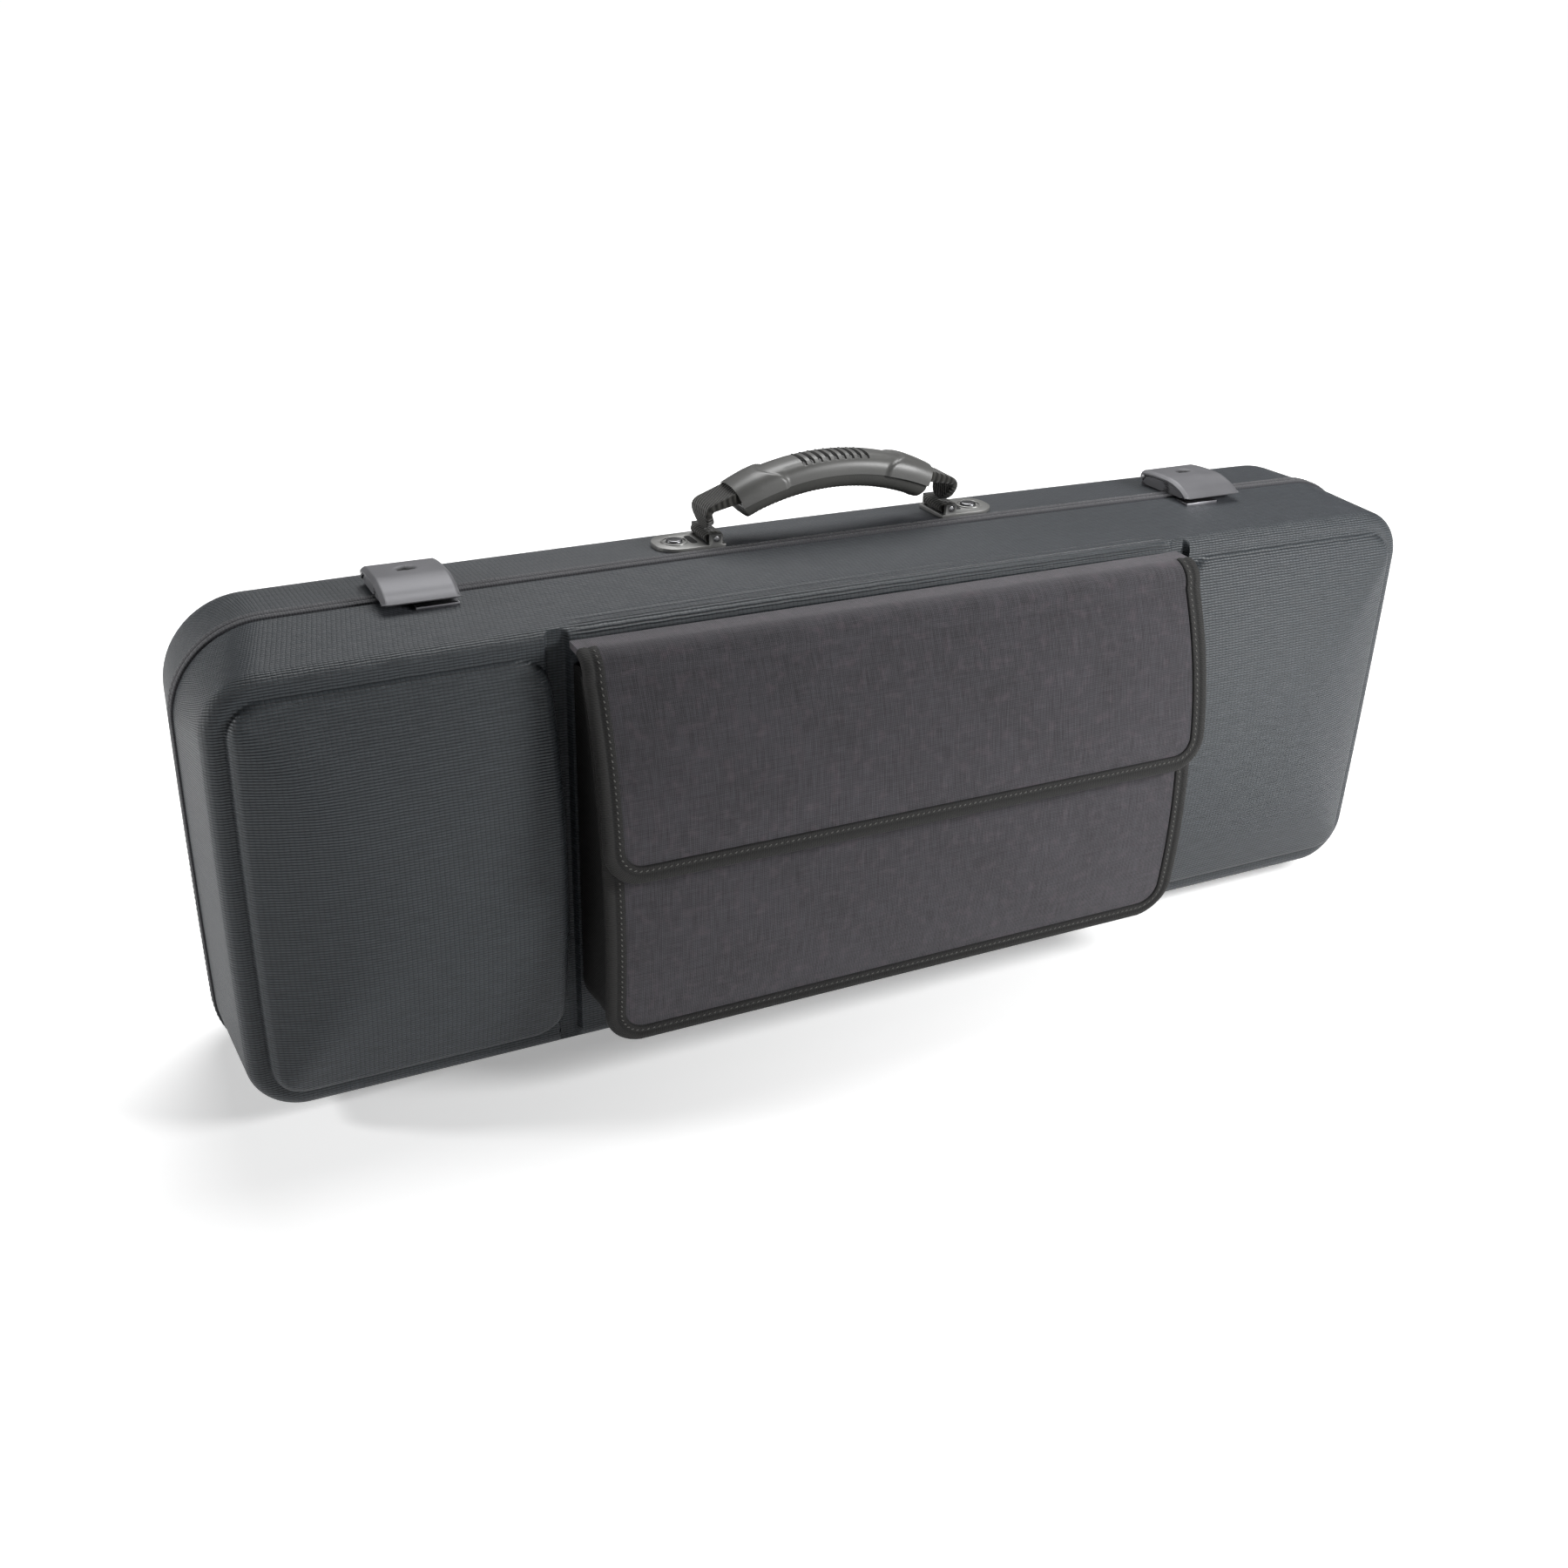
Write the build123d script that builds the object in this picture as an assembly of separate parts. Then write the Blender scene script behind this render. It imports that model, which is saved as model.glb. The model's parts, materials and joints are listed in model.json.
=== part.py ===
from build123d import *
from math import atan, degrees
import os

os.makedirs("parts", exist_ok=True)

# Oblong violin case standing on its hinge side, handle up, lid towards -Y.
# Sizes are millimetres. Pieces are drawn with y = 0 at the seam and z = 0 at the
# seam outline's lower edge, and moved to the finished frame as they are written.

# Closed case, measured at the seam
case_length = 790.0
case_height = 274.0
top_crown = 3.5
end_crown = 1.5
corner_radius = 50.0

# Lid half
lid_depth = 66.0
lid_draft = 7.0
lid_edge_radius = 9.0
lid_front_wall = 7.0
lid_room_radius = 2.8

# Base half
base_depth = 69.0
base_draft = 3.0
base_edge_radius = 27.0

# Walls, rims and lining
wall = 4.0
lining = 5.0
rim_width = 5.0
rim_overhang = 1.0
seam_gap = 0.3
fit_gap = 0.2
soft_gap = 0.3

# Domed panels on the lid, each side of the pocket
dome_end_margin = 18.5
dome_inner = 213.0
dome_low = 19.0
dome_top_margin = 18.0
dome_rim_rise = 5.0
dome_crown_rise = 24.0
dome_run = 135.0
dome_corner = 20.0
dome_wall = 5.0

# Channels between the domes and the pocket
channel_centre = 206.0
channel_width = 15.0
channel_sink = 4.0
channel_top_margin = 4.0

# Pocket on the lid
pocket_half = 196.0
pocket_low = 28.0
pocket_top_margin = 24.0
pocket_top_rise = 19.0
pocket_mid_rise = 45.0
pocket_low_rise = 41.0
pocket_panel = 4.0
gusset_thickness = 3.0
pocket_corner = 24.0
binding_width = 10.0
binding_proud = 1.0

# Pocket flap
flap_half = 198.0
flap_low = 139.0
flap_top_margin = 9.5
flap_thickness = 4.5
flap_low_rise = 53.5
flap_mid_rise = 46.0
flap_mid_drop = 51.0
flap_brow_rise = 18.0
flap_brow_radius = 9.0
flap_brow_low_rise = 27.5
flap_brow_margin = 23.0
flap_brow_share_y = 0.68
flap_brow_share_z = 0.42
flap_inner_share_y = 0.45
flap_inner_share_z = 0.6
flap_corner = 22.0
closure_length = 300.0
closure_height = 20.0
closure_rise = 21.0
closure_thickness = 1.2

# Spine hinges and feet
hinge_end_margin = 135.0
hinge_length = 60.0
hinge_radius = 3.5
hinge_pin_radius = 1.5
hinge_leaf = 1.2
hinge_leaf_reach = 20.0
running_gap = 0.05
knuckle_gap = 0.3
knuckle_relief = 0.5
feet_drop = 5.5
foot_end_margin = 105.0
foot_length = 36.0
foot_width = 14.0
foot_offset = 38.0
foot_round = 2.0

# Handle
handle_y = 21.5
bracket_outer = 114.0
bracket_inner = 74.0
bracket_width = 29.0
bracket_plate = 2.6
bar_x = 80.0
bar_radius = 1.8
bar_lift = 3.4
bracket_round = 12.5
ear_thickness = 2.6
ear_margin = 2.0
ear_cover = 1.0
window_gap = 1.0
rivet_radius = 3.0
rivet_head = 5.0
rivet_head_height = 1.6
rivet_round = 1.2
rivet_x = 101.0
rivet_sink = 2.1
loop_thickness = 1.7
strap_width = 24.0
strap_thickness = 2.6
strap_bend_x = 89.0
strap_bend_lift = 23.5
strap_bend_radius = 4.5
strap_lap = 0.2
loop_side_gap = 0.5
grip_radius = 165.0
grip_lift = 50.0
grip_width = 28.0
grip_half_angle = 24.0
under_width = 26.0
grip_shell_height = 12.0
grip_under_height = 9.0
grip_rib_count = 9
grip_rib_pitch = 1.55
grip_rib_width = 1.8
grip_rib_depth = 1.6
grip_top_round = 6.0
grip_low_round = 4.0
collar_angle = 6.0
collar_proud = 1.2

# Latches
latch_end_margin = 132.0
latch_width = 43.0
latch_pin_y = 27.0
latch_pin_lift = 4.4
latch_pin_radius = 1.5
latch_barrel = 4.0
latch_crest_y = 6.0
latch_crest_lift = 11.5
latch_lip_y = -21.0
latch_lip_lift = 2.2
latch_shell = 2.4
latch_cheek = 2.4
latch_ear = 3.0
latch_side_gap = 0.5
latch_ear_slot = 3.8
latch_ear_half = 3.0
latch_barrel_share = 0.7
latch_edge_rise = 1.0
keeper_inset = 1.0
keeper_back = 4.0
latch_base_front = 3.0
latch_plate = 2.0
keeper_width = 24.0
keeper_length = 17.0
keeper_thickness = 1.8

# Interior
bed_top = 8.0
bed_floor = 6.0
violin_end_margin = 33.0
lower_bout = 108.0
upper_bout = 86.0
violin_length = 364.0
waist_width = 134.0
neck_width = 62.0
neck_reach = 602.0
tray_offset = 392.0
tray_end_margin = 30.0
tray_corner = 8.0
outline_round = 10.0
pad_rise = 7.0
pad_round = 6.0
lower_pad = (90.0, 130.0)
upper_pad = (60.0, 110.0)
cradle_offset = 94.0
cradle_length = 46.0
cradle_top = 24.0
cradle_notch = 12.0
cradle_cheek = 15.0
neck_strap_half = 11.0
neck_strap_depth = 2.0
neck_strap_lap = 8.0
tray_wall = 12.0
box_space = 73.0
box_wall = 3.0
box_top = 25.0
box_lid = 4.0
box_lid_clear = 2.0
box_lid_margin = 12.0
tab_near = 12.0
tab_far = 34.0
tab_half = 9.0
tab_thickness = 2.0
spinner_end_margin = 95.0
lower_bow_drop = 41.0
upper_bow_rise = 49.0
sleeve_length = 62.0
sleeve_width = 34.0
sleeve_height = 13.0
sleeve_wall = 2.5
sleeve_lead = 20.0
holder_radius = 15.0
holder_base = 6.0
spinner_thickness = 5.0
spinner_length = 46.0
spinner_width = 14.0
spindle_radius = 3.0

# Worked out from the sizes above
half_length = case_length / 2
middle = case_height / 2
dome_outer = half_length - dome_end_margin
dome_high = case_height - dome_top_margin
dome_rim_depth = lid_depth + dome_rim_rise
dome_crown_depth = lid_depth + dome_crown_rise
channel_floor = lid_depth - channel_sink
channel_top = case_height - channel_top_margin
pocket_high = case_height - pocket_top_margin
pocket_top_depth = lid_depth + pocket_top_rise
pocket_mid_depth = lid_depth + pocket_mid_rise
pocket_low_depth = lid_depth + pocket_low_rise
pocket_mid_height = (pocket_low + pocket_high) / 2
flap_top = case_height - flap_top_margin
flap_low_depth = lid_depth + flap_low_rise
flap_mid_depth = lid_depth + flap_mid_rise
flap_brow_depth = lid_depth + flap_brow_rise
flap_brow_low_depth = lid_depth + flap_brow_low_rise
flap_brow_low_height = case_height - flap_brow_margin
flap_mid_height = flap_brow_low_height - flap_mid_drop
closure_centre = flap_low + closure_rise
hinge_end = half_length - hinge_end_margin
hinge_positions = (-hinge_end, 0.0, hinge_end)
foot_position = half_length - foot_end_margin
strap_foot_radius = strap_width / 2
strap_bend_height = case_height + strap_bend_lift
grip_top = case_height + grip_lift
latch_x = half_length - latch_end_margin
violin_end = violin_end_margin - half_length
neck_end = violin_end + neck_reach
box_start = half_length - box_space
tray_start = violin_end + tray_offset
tray_end = box_start - tray_end_margin
spinner_x = spinner_end_margin - half_length
bow_heights = (middle - lower_bow_drop, middle + upper_bow_rise)
flap_front = flap_low_depth + binding_proud
seam_y = (flap_front - base_depth) / 2
place = Pos(0, seam_y, feet_drop)
big = 2 * case_length
base_inner = wall + fit_gap
lining_inner = base_inner + lining + fit_gap
lid_cavity_depth = lid_depth - lid_front_wall
lid_lining_floor = lid_cavity_depth - fit_gap - lining
hinge_z = -rim_overhang


def write(name, shape):
    export_step(place * shape, "parts/" + name + ".step")
    solids = shape.solids() if hasattr(shape, "solids") else shape
    print(name, len(solids), round(sum(solid.volume for solid in solids)))


def group(shapes):
    return Compound(children=[solid for shape in shapes for solid in shape.solids()])


# A block between two corners, each given as x, y, z
def block(low, high):
    size = [b - a for a, b in zip(low, high)]
    centre = [(a + b) / 2 for a, b in zip(low, high)]
    return Pos(*centre) * Box(*size)


# Height of the handle side's outer face over a place on the case
def top_wall(x, y, depth, draft):
    return case_height + top_crown * (1 - (x / half_length) ** 2) - draft * abs(y) / depth


# The case's outline at distance y from the seam, drawn in by inset all round
def outline(y, inset):
    side = half_length - inset
    low = inset
    high = case_height - inset
    edges = [
        Line((-side, low), (side, low)),
        ThreePointArc((side, low), (side + end_crown, middle), (side, high)),
        ThreePointArc((side, high), (0, high + top_crown), (-side, high)),
        ThreePointArc((-side, high), (-side - end_crown, middle), (-side, low)),
    ]
    face = make_face(Wire(edges))
    face = fillet(face.vertices(), corner_radius - inset)
    return Plane((0, y, 0), x_dir=(1, 0, 0), z_dir=(0, -1, 0)) * face


# One drafted half of the case as a solid block, with its far edge rounded
def half_block(side, depth, draft, inset, edge_radius):
    slope = degrees(atan(draft / depth))
    solid = extrude(outline(0, inset), amount=depth, dir=(0, side, 0), taper=slope)
    far = solid.faces().sort_by(Axis.Y)[-1 if side > 0 else 0]
    return fillet(far.edges(), edge_radius)


# The ring that caps a half's edge at the seam
def rim(side):
    start = side * seam_gap / 2
    ring = outline(start, -rim_overhang) - outline(start, lining_inner)
    return extrude(ring, amount=rim_width - seam_gap / 2, dir=(0, side, 0))


# Everything further from the seam than a distance, on one side
def beyond(side, distance):
    return Pos(0, side * (distance + big / 2), 0) * Box(big, big, big)


def cylinder_x(radius, x_low, x_high, y, z):
    return Pos((x_low + x_high) / 2, y, z) * Rot(0, 90, 0) * Cylinder(radius, x_high - x_low)


def cylinder_y(radius, x, y_low, y_high, z):
    return Pos(x, (y_low + y_high) / 2, z) * Rot(90, 0, 0) * Cylinder(radius, y_high - y_low)


def cylinder_z(radius, x, y, z_low, z_high):
    return Pos(x, y, (z_low + z_high) / 2) * Cylinder(radius, z_high - z_low)


# A face drawn on y and z, pushed out along x between two places
def profile_along_x(edges, x_low, x_high):
    face = make_face(Wire(edges))
    placed = Plane((x_low, 0, 0), x_dir=(0, 1, 0), z_dir=(1, 0, 0)) * face
    return extrude(placed, amount=x_high - x_low)


# A panel shape drawn on x and z with two rounded lower corners, as deep as the case
def apron(half, low, high, corner):
    face = Pos(0, (low + high) / 2) * Rectangle(2 * half, high - low)
    lower = face.vertices().sort_by(Axis.Y)[:2]
    face = fillet(lower, corner)
    placed = Plane((0, 0, 0), x_dir=(1, 0, 0), z_dir=(0, -1, 0)) * face
    return extrude(placed, amount=big / 2)


# One domed panel: a rounded block trimmed by an arch over its height and one over its end
def dome(side, inset):
    width = dome_outer - dome_inner - 2 * inset
    height = dome_high - dome_low - 2 * inset
    face = Pos((dome_outer + dome_inner) / 2, (dome_low + dome_high) / 2) * Rectangle(width, height)
    face = fillet(face.vertices(), dome_corner - inset)
    placed = Plane((0, -lid_cavity_depth, 0), x_dir=(1, 0, 0), z_dir=(0, -1, 0)) * face
    solid = extrude(placed, amount=dome_crown_depth - lid_cavity_depth + 1)
    half = (dome_high - dome_low) / 2
    rise = dome_crown_depth - dome_rim_depth
    height_radius = (half**2 + rise**2) / (2 * rise)
    end_radius = (dome_run**2 + rise**2) / (2 * rise)
    crown_y = -dome_crown_depth + inset
    flat_x = dome_outer - dome_run
    over_height = cylinder_x(height_radius, 0, half_length, crown_y + height_radius, dome_low + half)
    over_end = cylinder_z(end_radius, flat_x, crown_y + end_radius, -case_height, 2 * case_height)
    over_end += block((0, crown_y, -case_height), (flat_x, big, 2 * case_height))
    solid = solid & over_height & over_end
    return solid if side > 0 else mirror(solid, about=Plane.YZ)


def channel(side):
    length = channel_top + case_height
    centre = Pos(side * channel_centre, channel_top - length / 2)
    face = centre * Rot(0, 0, 90) * SlotOverall(length, channel_width)
    placed = Plane((0, -channel_floor, 0), x_dir=(1, 0, 0), z_dir=(0, -1, 0)) * face
    return extrude(placed, amount=big / 4)


# The pocket's outer front face seen from the side, moved towards the lid by inset
def pocket_profile(inset, x_half):
    top = -pocket_top_depth + inset
    mid = -pocket_mid_depth + inset
    low = -pocket_low_depth + inset
    return profile_along_x(
        [
            ThreePointArc((low, pocket_low - binding_proud), (mid, pocket_mid_height), (top, pocket_high)),
            Line((top, pocket_high), (-lid_depth, pocket_high)),
            Line((-lid_depth, pocket_high), (-lid_depth, pocket_low - binding_proud)),
            Line((-lid_depth, pocket_low - binding_proud), (low, pocket_low - binding_proud)),
        ],
        -x_half,
        x_half,
    )


# The flap as one bent panel, its faces moved out by proud on both sides
def flap_profile(proud, x_half):
    hinge_y = -lid_depth - soft_gap - flap_thickness / 2
    outer = flap_top + proud
    inner = flap_top - flap_thickness - proud
    root = (outer + inner) / 2
    radius = flap_thickness / 2 + proud
    inner_brow = flap_brow_radius - flap_thickness
    brow_y = -flap_brow_depth
    brow_bulge = flap_brow_radius * flap_brow_share_y
    brow_fall = flap_brow_radius * flap_brow_share_z
    steep = flap_thickness + proud
    low = flap_low - binding_proud
    edges = [
        ThreePointArc((hinge_y, inner), (hinge_y + radius, root), (hinge_y, outer)),
        Line((hinge_y, outer), (brow_y, outer)),
        ThreePointArc(
            (brow_y, outer),
            (brow_y - brow_bulge - proud, outer - brow_fall),
            (-flap_brow_low_depth - proud, flap_brow_low_height),
        ),
        ThreePointArc(
            (-flap_brow_low_depth - proud, flap_brow_low_height),
            (-flap_mid_depth - proud, flap_mid_height),
            (-flap_low_depth - proud, low),
        ),
        Line((-flap_low_depth - proud, low), (-flap_low_depth + steep, low)),
        ThreePointArc(
            (-flap_low_depth + steep, low),
            (-flap_mid_depth + steep, flap_mid_height),
            (-flap_brow_low_depth + steep, flap_brow_low_height - flap_thickness / 2),
        ),
        ThreePointArc(
            (-flap_brow_low_depth + steep, flap_brow_low_height - flap_thickness / 2),
            (brow_y - inner_brow * flap_inner_share_y, inner - inner_brow * flap_inner_share_z),
            (brow_y + inner_brow, inner),
        ),
        Line((brow_y + inner_brow, inner), (hinge_y, inner)),
    ]
    return profile_along_x(edges, -x_half, x_half)


# Shells, rims and lining
relief_half = hinge_length / 2 + 1
hinge_reliefs = [
    cylinder_x(hinge_radius + knuckle_relief, x - relief_half, x + relief_half, 0, hinge_z)
    for x in hinge_positions
]
base_outer = half_block(1, base_depth, base_draft, 0, base_edge_radius)
base_cavity = half_block(1, base_depth - wall, base_draft, wall, base_edge_radius - wall)
base_shell = (base_outer - base_cavity) & beyond(1, rim_width)
base_rim = rim(1) - hinge_reliefs
base_lining_outer = half_block(
    1, base_depth - base_inner, base_draft, base_inner, base_edge_radius - base_inner
)
room_inset = base_inner + lining
base_room = half_block(1, base_depth - room_inset, base_draft, room_inset, base_edge_radius - room_inset)
base_lining = (base_lining_outer - base_room) & beyond(1, rim_width)

lid_outer = half_block(-1, lid_depth, lid_draft, 0, lid_edge_radius)
lid_cavity = half_block(-1, lid_cavity_depth, lid_draft, wall, lid_edge_radius - wall)
lid_solid = lid_outer + dome(1, 0) + dome(-1, 0)
lid_shell = lid_solid - lid_cavity - dome(1, dome_wall) - dome(-1, dome_wall) - channel(1) - channel(-1)
lid_shell = lid_shell & beyond(-1, rim_width)
lid_rim = rim(-1) - hinge_reliefs
lid_lining_outer = half_block(
    -1, lid_cavity_depth - fit_gap, lid_draft, base_inner, lid_edge_radius - base_inner
)
lid_room = half_block(-1, lid_lining_floor, lid_draft, room_inset, lid_room_radius)
lid_lining = (lid_lining_outer - lid_room) & beyond(-1, rim_width)
foam_trim = beyond(-1, lid_cavity_depth + fit_gap)
lid_foam_cores = group([dome(side, dome_wall + fit_gap) & foam_trim for side in (-1, 1)])

write("base_shell", base_shell)
write("base_rim", base_rim)
write("base_lining", base_lining)
write("lid_shell", lid_shell)
write("lid_rim", lid_rim)
write("lid_lining", lid_lining)
write("lid_foam_cores", lid_foam_cores)


# Spine hinges: two knuckles on the base's leaf, one on the lid's, and a pin through all three
def hinge_leaf_set(x, side, shell, edge):
    half = hinge_length / 2
    third = hinge_length / 3
    start = hinge_radius + knuckle_relief
    plate_low = hinge_z - hinge_leaf
    plate = block((x - half, start, plate_low), (x + half, hinge_leaf_reach, wall / 2))
    spans = [(x - half, x - third / 2), (x + third / 2, x + half)] if side > 0 else [
        (x - third / 2 + knuckle_gap, x + third / 2 - knuckle_gap)
    ]
    for low, high in spans:
        plate += cylinder_x(hinge_radius, low, high, 0, hinge_z)
        plate += block((low, 0, plate_low), (high, start + 1, hinge_z))
    plate -= cylinder_x(hinge_pin_radius + running_gap, x - half - 1, x + half + 1, 0, hinge_z)
    if side < 0:
        plate = mirror(plate, about=Plane.XZ)
    return plate - shell - edge


hinge_base_leaves = group([hinge_leaf_set(x, 1, base_shell, base_rim) for x in hinge_positions])
hinge_lid_leaves = group([hinge_leaf_set(x, -1, lid_shell, lid_rim) for x in hinge_positions])
hinge_pins = group(
    [
        cylinder_x(hinge_pin_radius, x - hinge_length / 2, x + hinge_length / 2, 0, hinge_z)
        for x in hinge_positions
    ]
)
write("hinge_base_leaves", hinge_base_leaves)
write("hinge_lid_leaves", hinge_lid_leaves)
write("hinge_pins", hinge_pins)


# Rubber feet on the spine side of both halves
def foot(x, y, shell, wall_height):
    pad = block(
        (x - foot_length / 2, y - foot_width / 2, -feet_drop),
        (x + foot_length / 2, y + foot_width / 2, wall_height + wall / 2),
    )
    bottom = pad.faces().sort_by(Axis.Z)[0]
    return fillet(bottom.edges(), foot_round) - shell


base_foot_height = base_draft * foot_offset / base_depth
lid_foot_height = lid_draft * foot_offset / lid_depth
foot_places = (-foot_position, foot_position)
base_feet = group([foot(x, foot_offset, base_shell, base_foot_height) for x in foot_places])
lid_feet = group([foot(x, -foot_offset, lid_shell, lid_foot_height) for x in foot_places])
write("base_feet", base_feet)
write("lid_feet", lid_feet)

# Pocket: side and bottom gusset, front panel, bound edge and hook strip
front_body = pocket_profile(0, flap_half)
behind_front = pocket_profile(pocket_panel, flap_half)
pocket_room = apron(
    pocket_half - gusset_thickness, pocket_low + gusset_thickness, big, pocket_corner - gusset_thickness
)
pocket_shape = apron(pocket_half, pocket_low, big, pocket_corner)
behind_lid = beyond(-1, lid_depth + fit_gap)
pocket_gusset = (pocket_shape - pocket_room) & behind_front & behind_lid
pocket_front = (front_body - behind_front) & pocket_shape
bound_shape = apron(
    pocket_half + binding_proud, pocket_low - binding_proud, big, pocket_corner + binding_proud
)
bound_room = apron(
    pocket_half + binding_proud - binding_width,
    pocket_low - binding_proud + binding_width,
    big,
    pocket_corner + binding_proud - binding_width,
)
bound_body = pocket_profile(-binding_proud, flap_half)
bound_body -= pocket_profile(pocket_panel + binding_proud, flap_half)
pocket_binding = (bound_shape - bound_room) & bound_body
pocket_binding = pocket_binding - pocket_front - (behind_front & pocket_shape)
write("pocket_gusset", pocket_gusset)
write("pocket_front", pocket_front)
write("pocket_binding", pocket_binding)

# Flap: bent panel, bound edge and loop strip
flap_body = flap_profile(0, flap_half + binding_proud)
flap_shape = apron(flap_half, flap_low, big, flap_corner)
pocket_flap = flap_body & flap_shape
flap_bound = apron(flap_half + binding_proud, flap_low - binding_proud, big, flap_corner + binding_proud)
flap_room = apron(
    flap_half + binding_proud - binding_width,
    flap_low - binding_proud + binding_width,
    big,
    flap_corner + binding_proud - binding_width,
)
binding_region = beyond(-1, flap_brow_depth - flap_brow_radius / 2)
flap_skin = flap_profile(binding_proud, flap_half + binding_proud)
flap_binding = ((flap_bound - flap_room) & flap_skin & binding_region) - pocket_flap
write("pocket_flap", pocket_flap)
write("flap_binding", flap_binding)

closure_zone = block(
    (-closure_length / 2, -big / 2, closure_centre - closure_height / 2),
    (closure_length / 2, 0, closure_centre + closure_height / 2),
)
hook_strip = (pocket_profile(-closure_thickness, flap_half) - front_body) & closure_zone
loop_outer = flap_profile(0, flap_half)
loop_strip = (Pos(0, closure_thickness, 0) * loop_outer - loop_outer) & closure_zone
write("pocket_hook_strip", hook_strip)
write("flap_loop_strip", loop_strip)


# Handle: two plates with ears and a cross bar, webbing loops, strap and two-part grip
rivet_seat = top_wall(bar_x, handle_y, base_depth, base_draft) + bracket_plate
bar_z = rivet_seat + bar_lift
bar_half = bracket_width / 2
loop_radius = bar_radius + loop_thickness
loop_half = strap_foot_radius - loop_side_gap


def bracket(side):
    seat = top_wall(bar_x, handle_y, base_depth, base_draft)
    mid_x = (bracket_outer + bracket_inner) / 2
    length = bracket_outer - bracket_inner
    face = Pos(mid_x, handle_y) * Rectangle(length, bracket_width)
    outer = face.vertices().sort_by(Axis.X)[-2:]
    face = fillet(outer, bracket_round)
    plate = extrude(Pos(0, 0, seat - wall / 2) * face, amount=wall / 2 + bracket_plate)
    ear = bracket_width / 2
    for low in (handle_y - ear, handle_y + ear - ear_thickness):
        plate += block(
            (bar_x - bar_radius - ear_margin, low, seat),
            (bar_x + bar_radius + ear_margin, low + ear_thickness, bar_z + bar_radius + ear_cover),
        )
    window = loop_radius + window_gap
    plate -= block(
        (bar_x - window, handle_y - ear + ear_thickness, seat - wall),
        (bar_x + window, handle_y + ear - ear_thickness, rivet_seat + 1),
    )
    plate -= cylinder_y(bar_radius, bar_x, handle_y - ear, handle_y + ear, bar_z)
    plate -= cylinder_z(rivet_radius, rivet_x, handle_y, seat - wall, seat + 2 * wall)
    plate = plate if side > 0 else mirror(plate, about=Plane.YZ)
    return plate - base_shell


def rivet(side):
    x = side * rivet_x
    shank = cylinder_z(rivet_radius - running_gap, x, handle_y, rivet_seat - rivet_sink, rivet_seat)
    head = cylinder_z(rivet_head, x, handle_y, rivet_seat, rivet_seat + rivet_head_height)
    head = fillet(head.faces().sort_by(Axis.Z)[-1].edges(), rivet_round)
    return shank + head - base_shell


handle_brackets = group([bracket(side) for side in (-1, 1)])
handle_bars = group(
    [cylinder_y(bar_radius, x, handle_y - bar_half, handle_y + bar_half, bar_z) for x in (-bar_x, bar_x)]
)
strap_loops = group(
    [
        cylinder_y(loop_radius, x, handle_y - loop_half, handle_y + loop_half, bar_z)
        - cylinder_y(bar_radius, x, handle_y - bar_half, handle_y + bar_half, bar_z)
        for x in (-bar_x, bar_x)
    ]
)
bracket_rivets = group([rivet(side) for side in (-1, 1)])
write("handle_brackets", handle_brackets)
write("handle_bars", handle_bars)
write("strap_loops", strap_loops)
write("bracket_rivets", bracket_rivets)

grip_centre = grip_top - grip_radius
handle_axis_z = bar_z + loop_radius + soft_gap + strap_foot_radius


# An arched bar of the grip: a section between two radii, turned about the arch's centre
def arched(inner_radius, outer_radius, width, start_angle, end_angle, top_round, low_round):
    height = outer_radius - inner_radius
    face = Pos(handle_y, grip_centre + inner_radius + height / 2) * Rectangle(width, height)
    if top_round > 0:
        face = fillet(face.vertices().sort_by(Axis.Y)[-2:], top_round)
    if low_round > 0:
        face = fillet(face.vertices().sort_by(Axis.Y)[:2], low_round)
    placed = Plane((0, 0, 0), x_dir=(0, 1, 0), z_dir=(1, 0, 0)) * face
    axis = Axis((0, 0, grip_centre), (0, 1, 0))
    turned = revolve(placed, axis=axis, revolution_arc=end_angle - start_angle)
    return Pos(0, 0, grip_centre) * Rot(0, start_angle, 0) * Pos(0, 0, -grip_centre) * turned


shell_inner = grip_radius - grip_shell_height
under_inner = shell_inner - grip_under_height
strap_mid = shell_inner + strap_thickness / 2 + fit_gap
grip_start = -grip_half_angle
grip_shell = arched(
    shell_inner, grip_radius, grip_width, grip_start, grip_half_angle, grip_top_round, 0
)
collar_radius = grip_radius + collar_proud
collar_width = grip_width + 2 * collar_proud
for side in (-1, 1):
    start = -grip_half_angle if side < 0 else grip_half_angle - collar_angle
    grip_shell += arched(
        shell_inner, collar_radius, collar_width, start, start + collar_angle, grip_top_round, 0
    )
strap_tunnel = arched(
    shell_inner,
    strap_mid + strap_thickness / 2 + fit_gap,
    strap_width + 2 * fit_gap,
    -grip_half_angle - 1,
    grip_half_angle + 1,
    0,
    0,
)
grip_shell -= strap_tunnel
for index in range(grip_rib_count):
    angle = (index - (grip_rib_count - 1) / 2) * grip_rib_pitch
    slot = block(
        (-grip_rib_width / 2, handle_y - grip_width, grip_radius - grip_rib_depth),
        (grip_rib_width / 2, handle_y + grip_width, grip_radius + grip_rib_depth),
    )
    grip_shell -= Pos(0, 0, grip_centre) * Rot(0, angle, 0) * slot
grip_underside = arched(
    under_inner, shell_inner, under_width, grip_start, grip_half_angle, 0, grip_low_round
)


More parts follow.
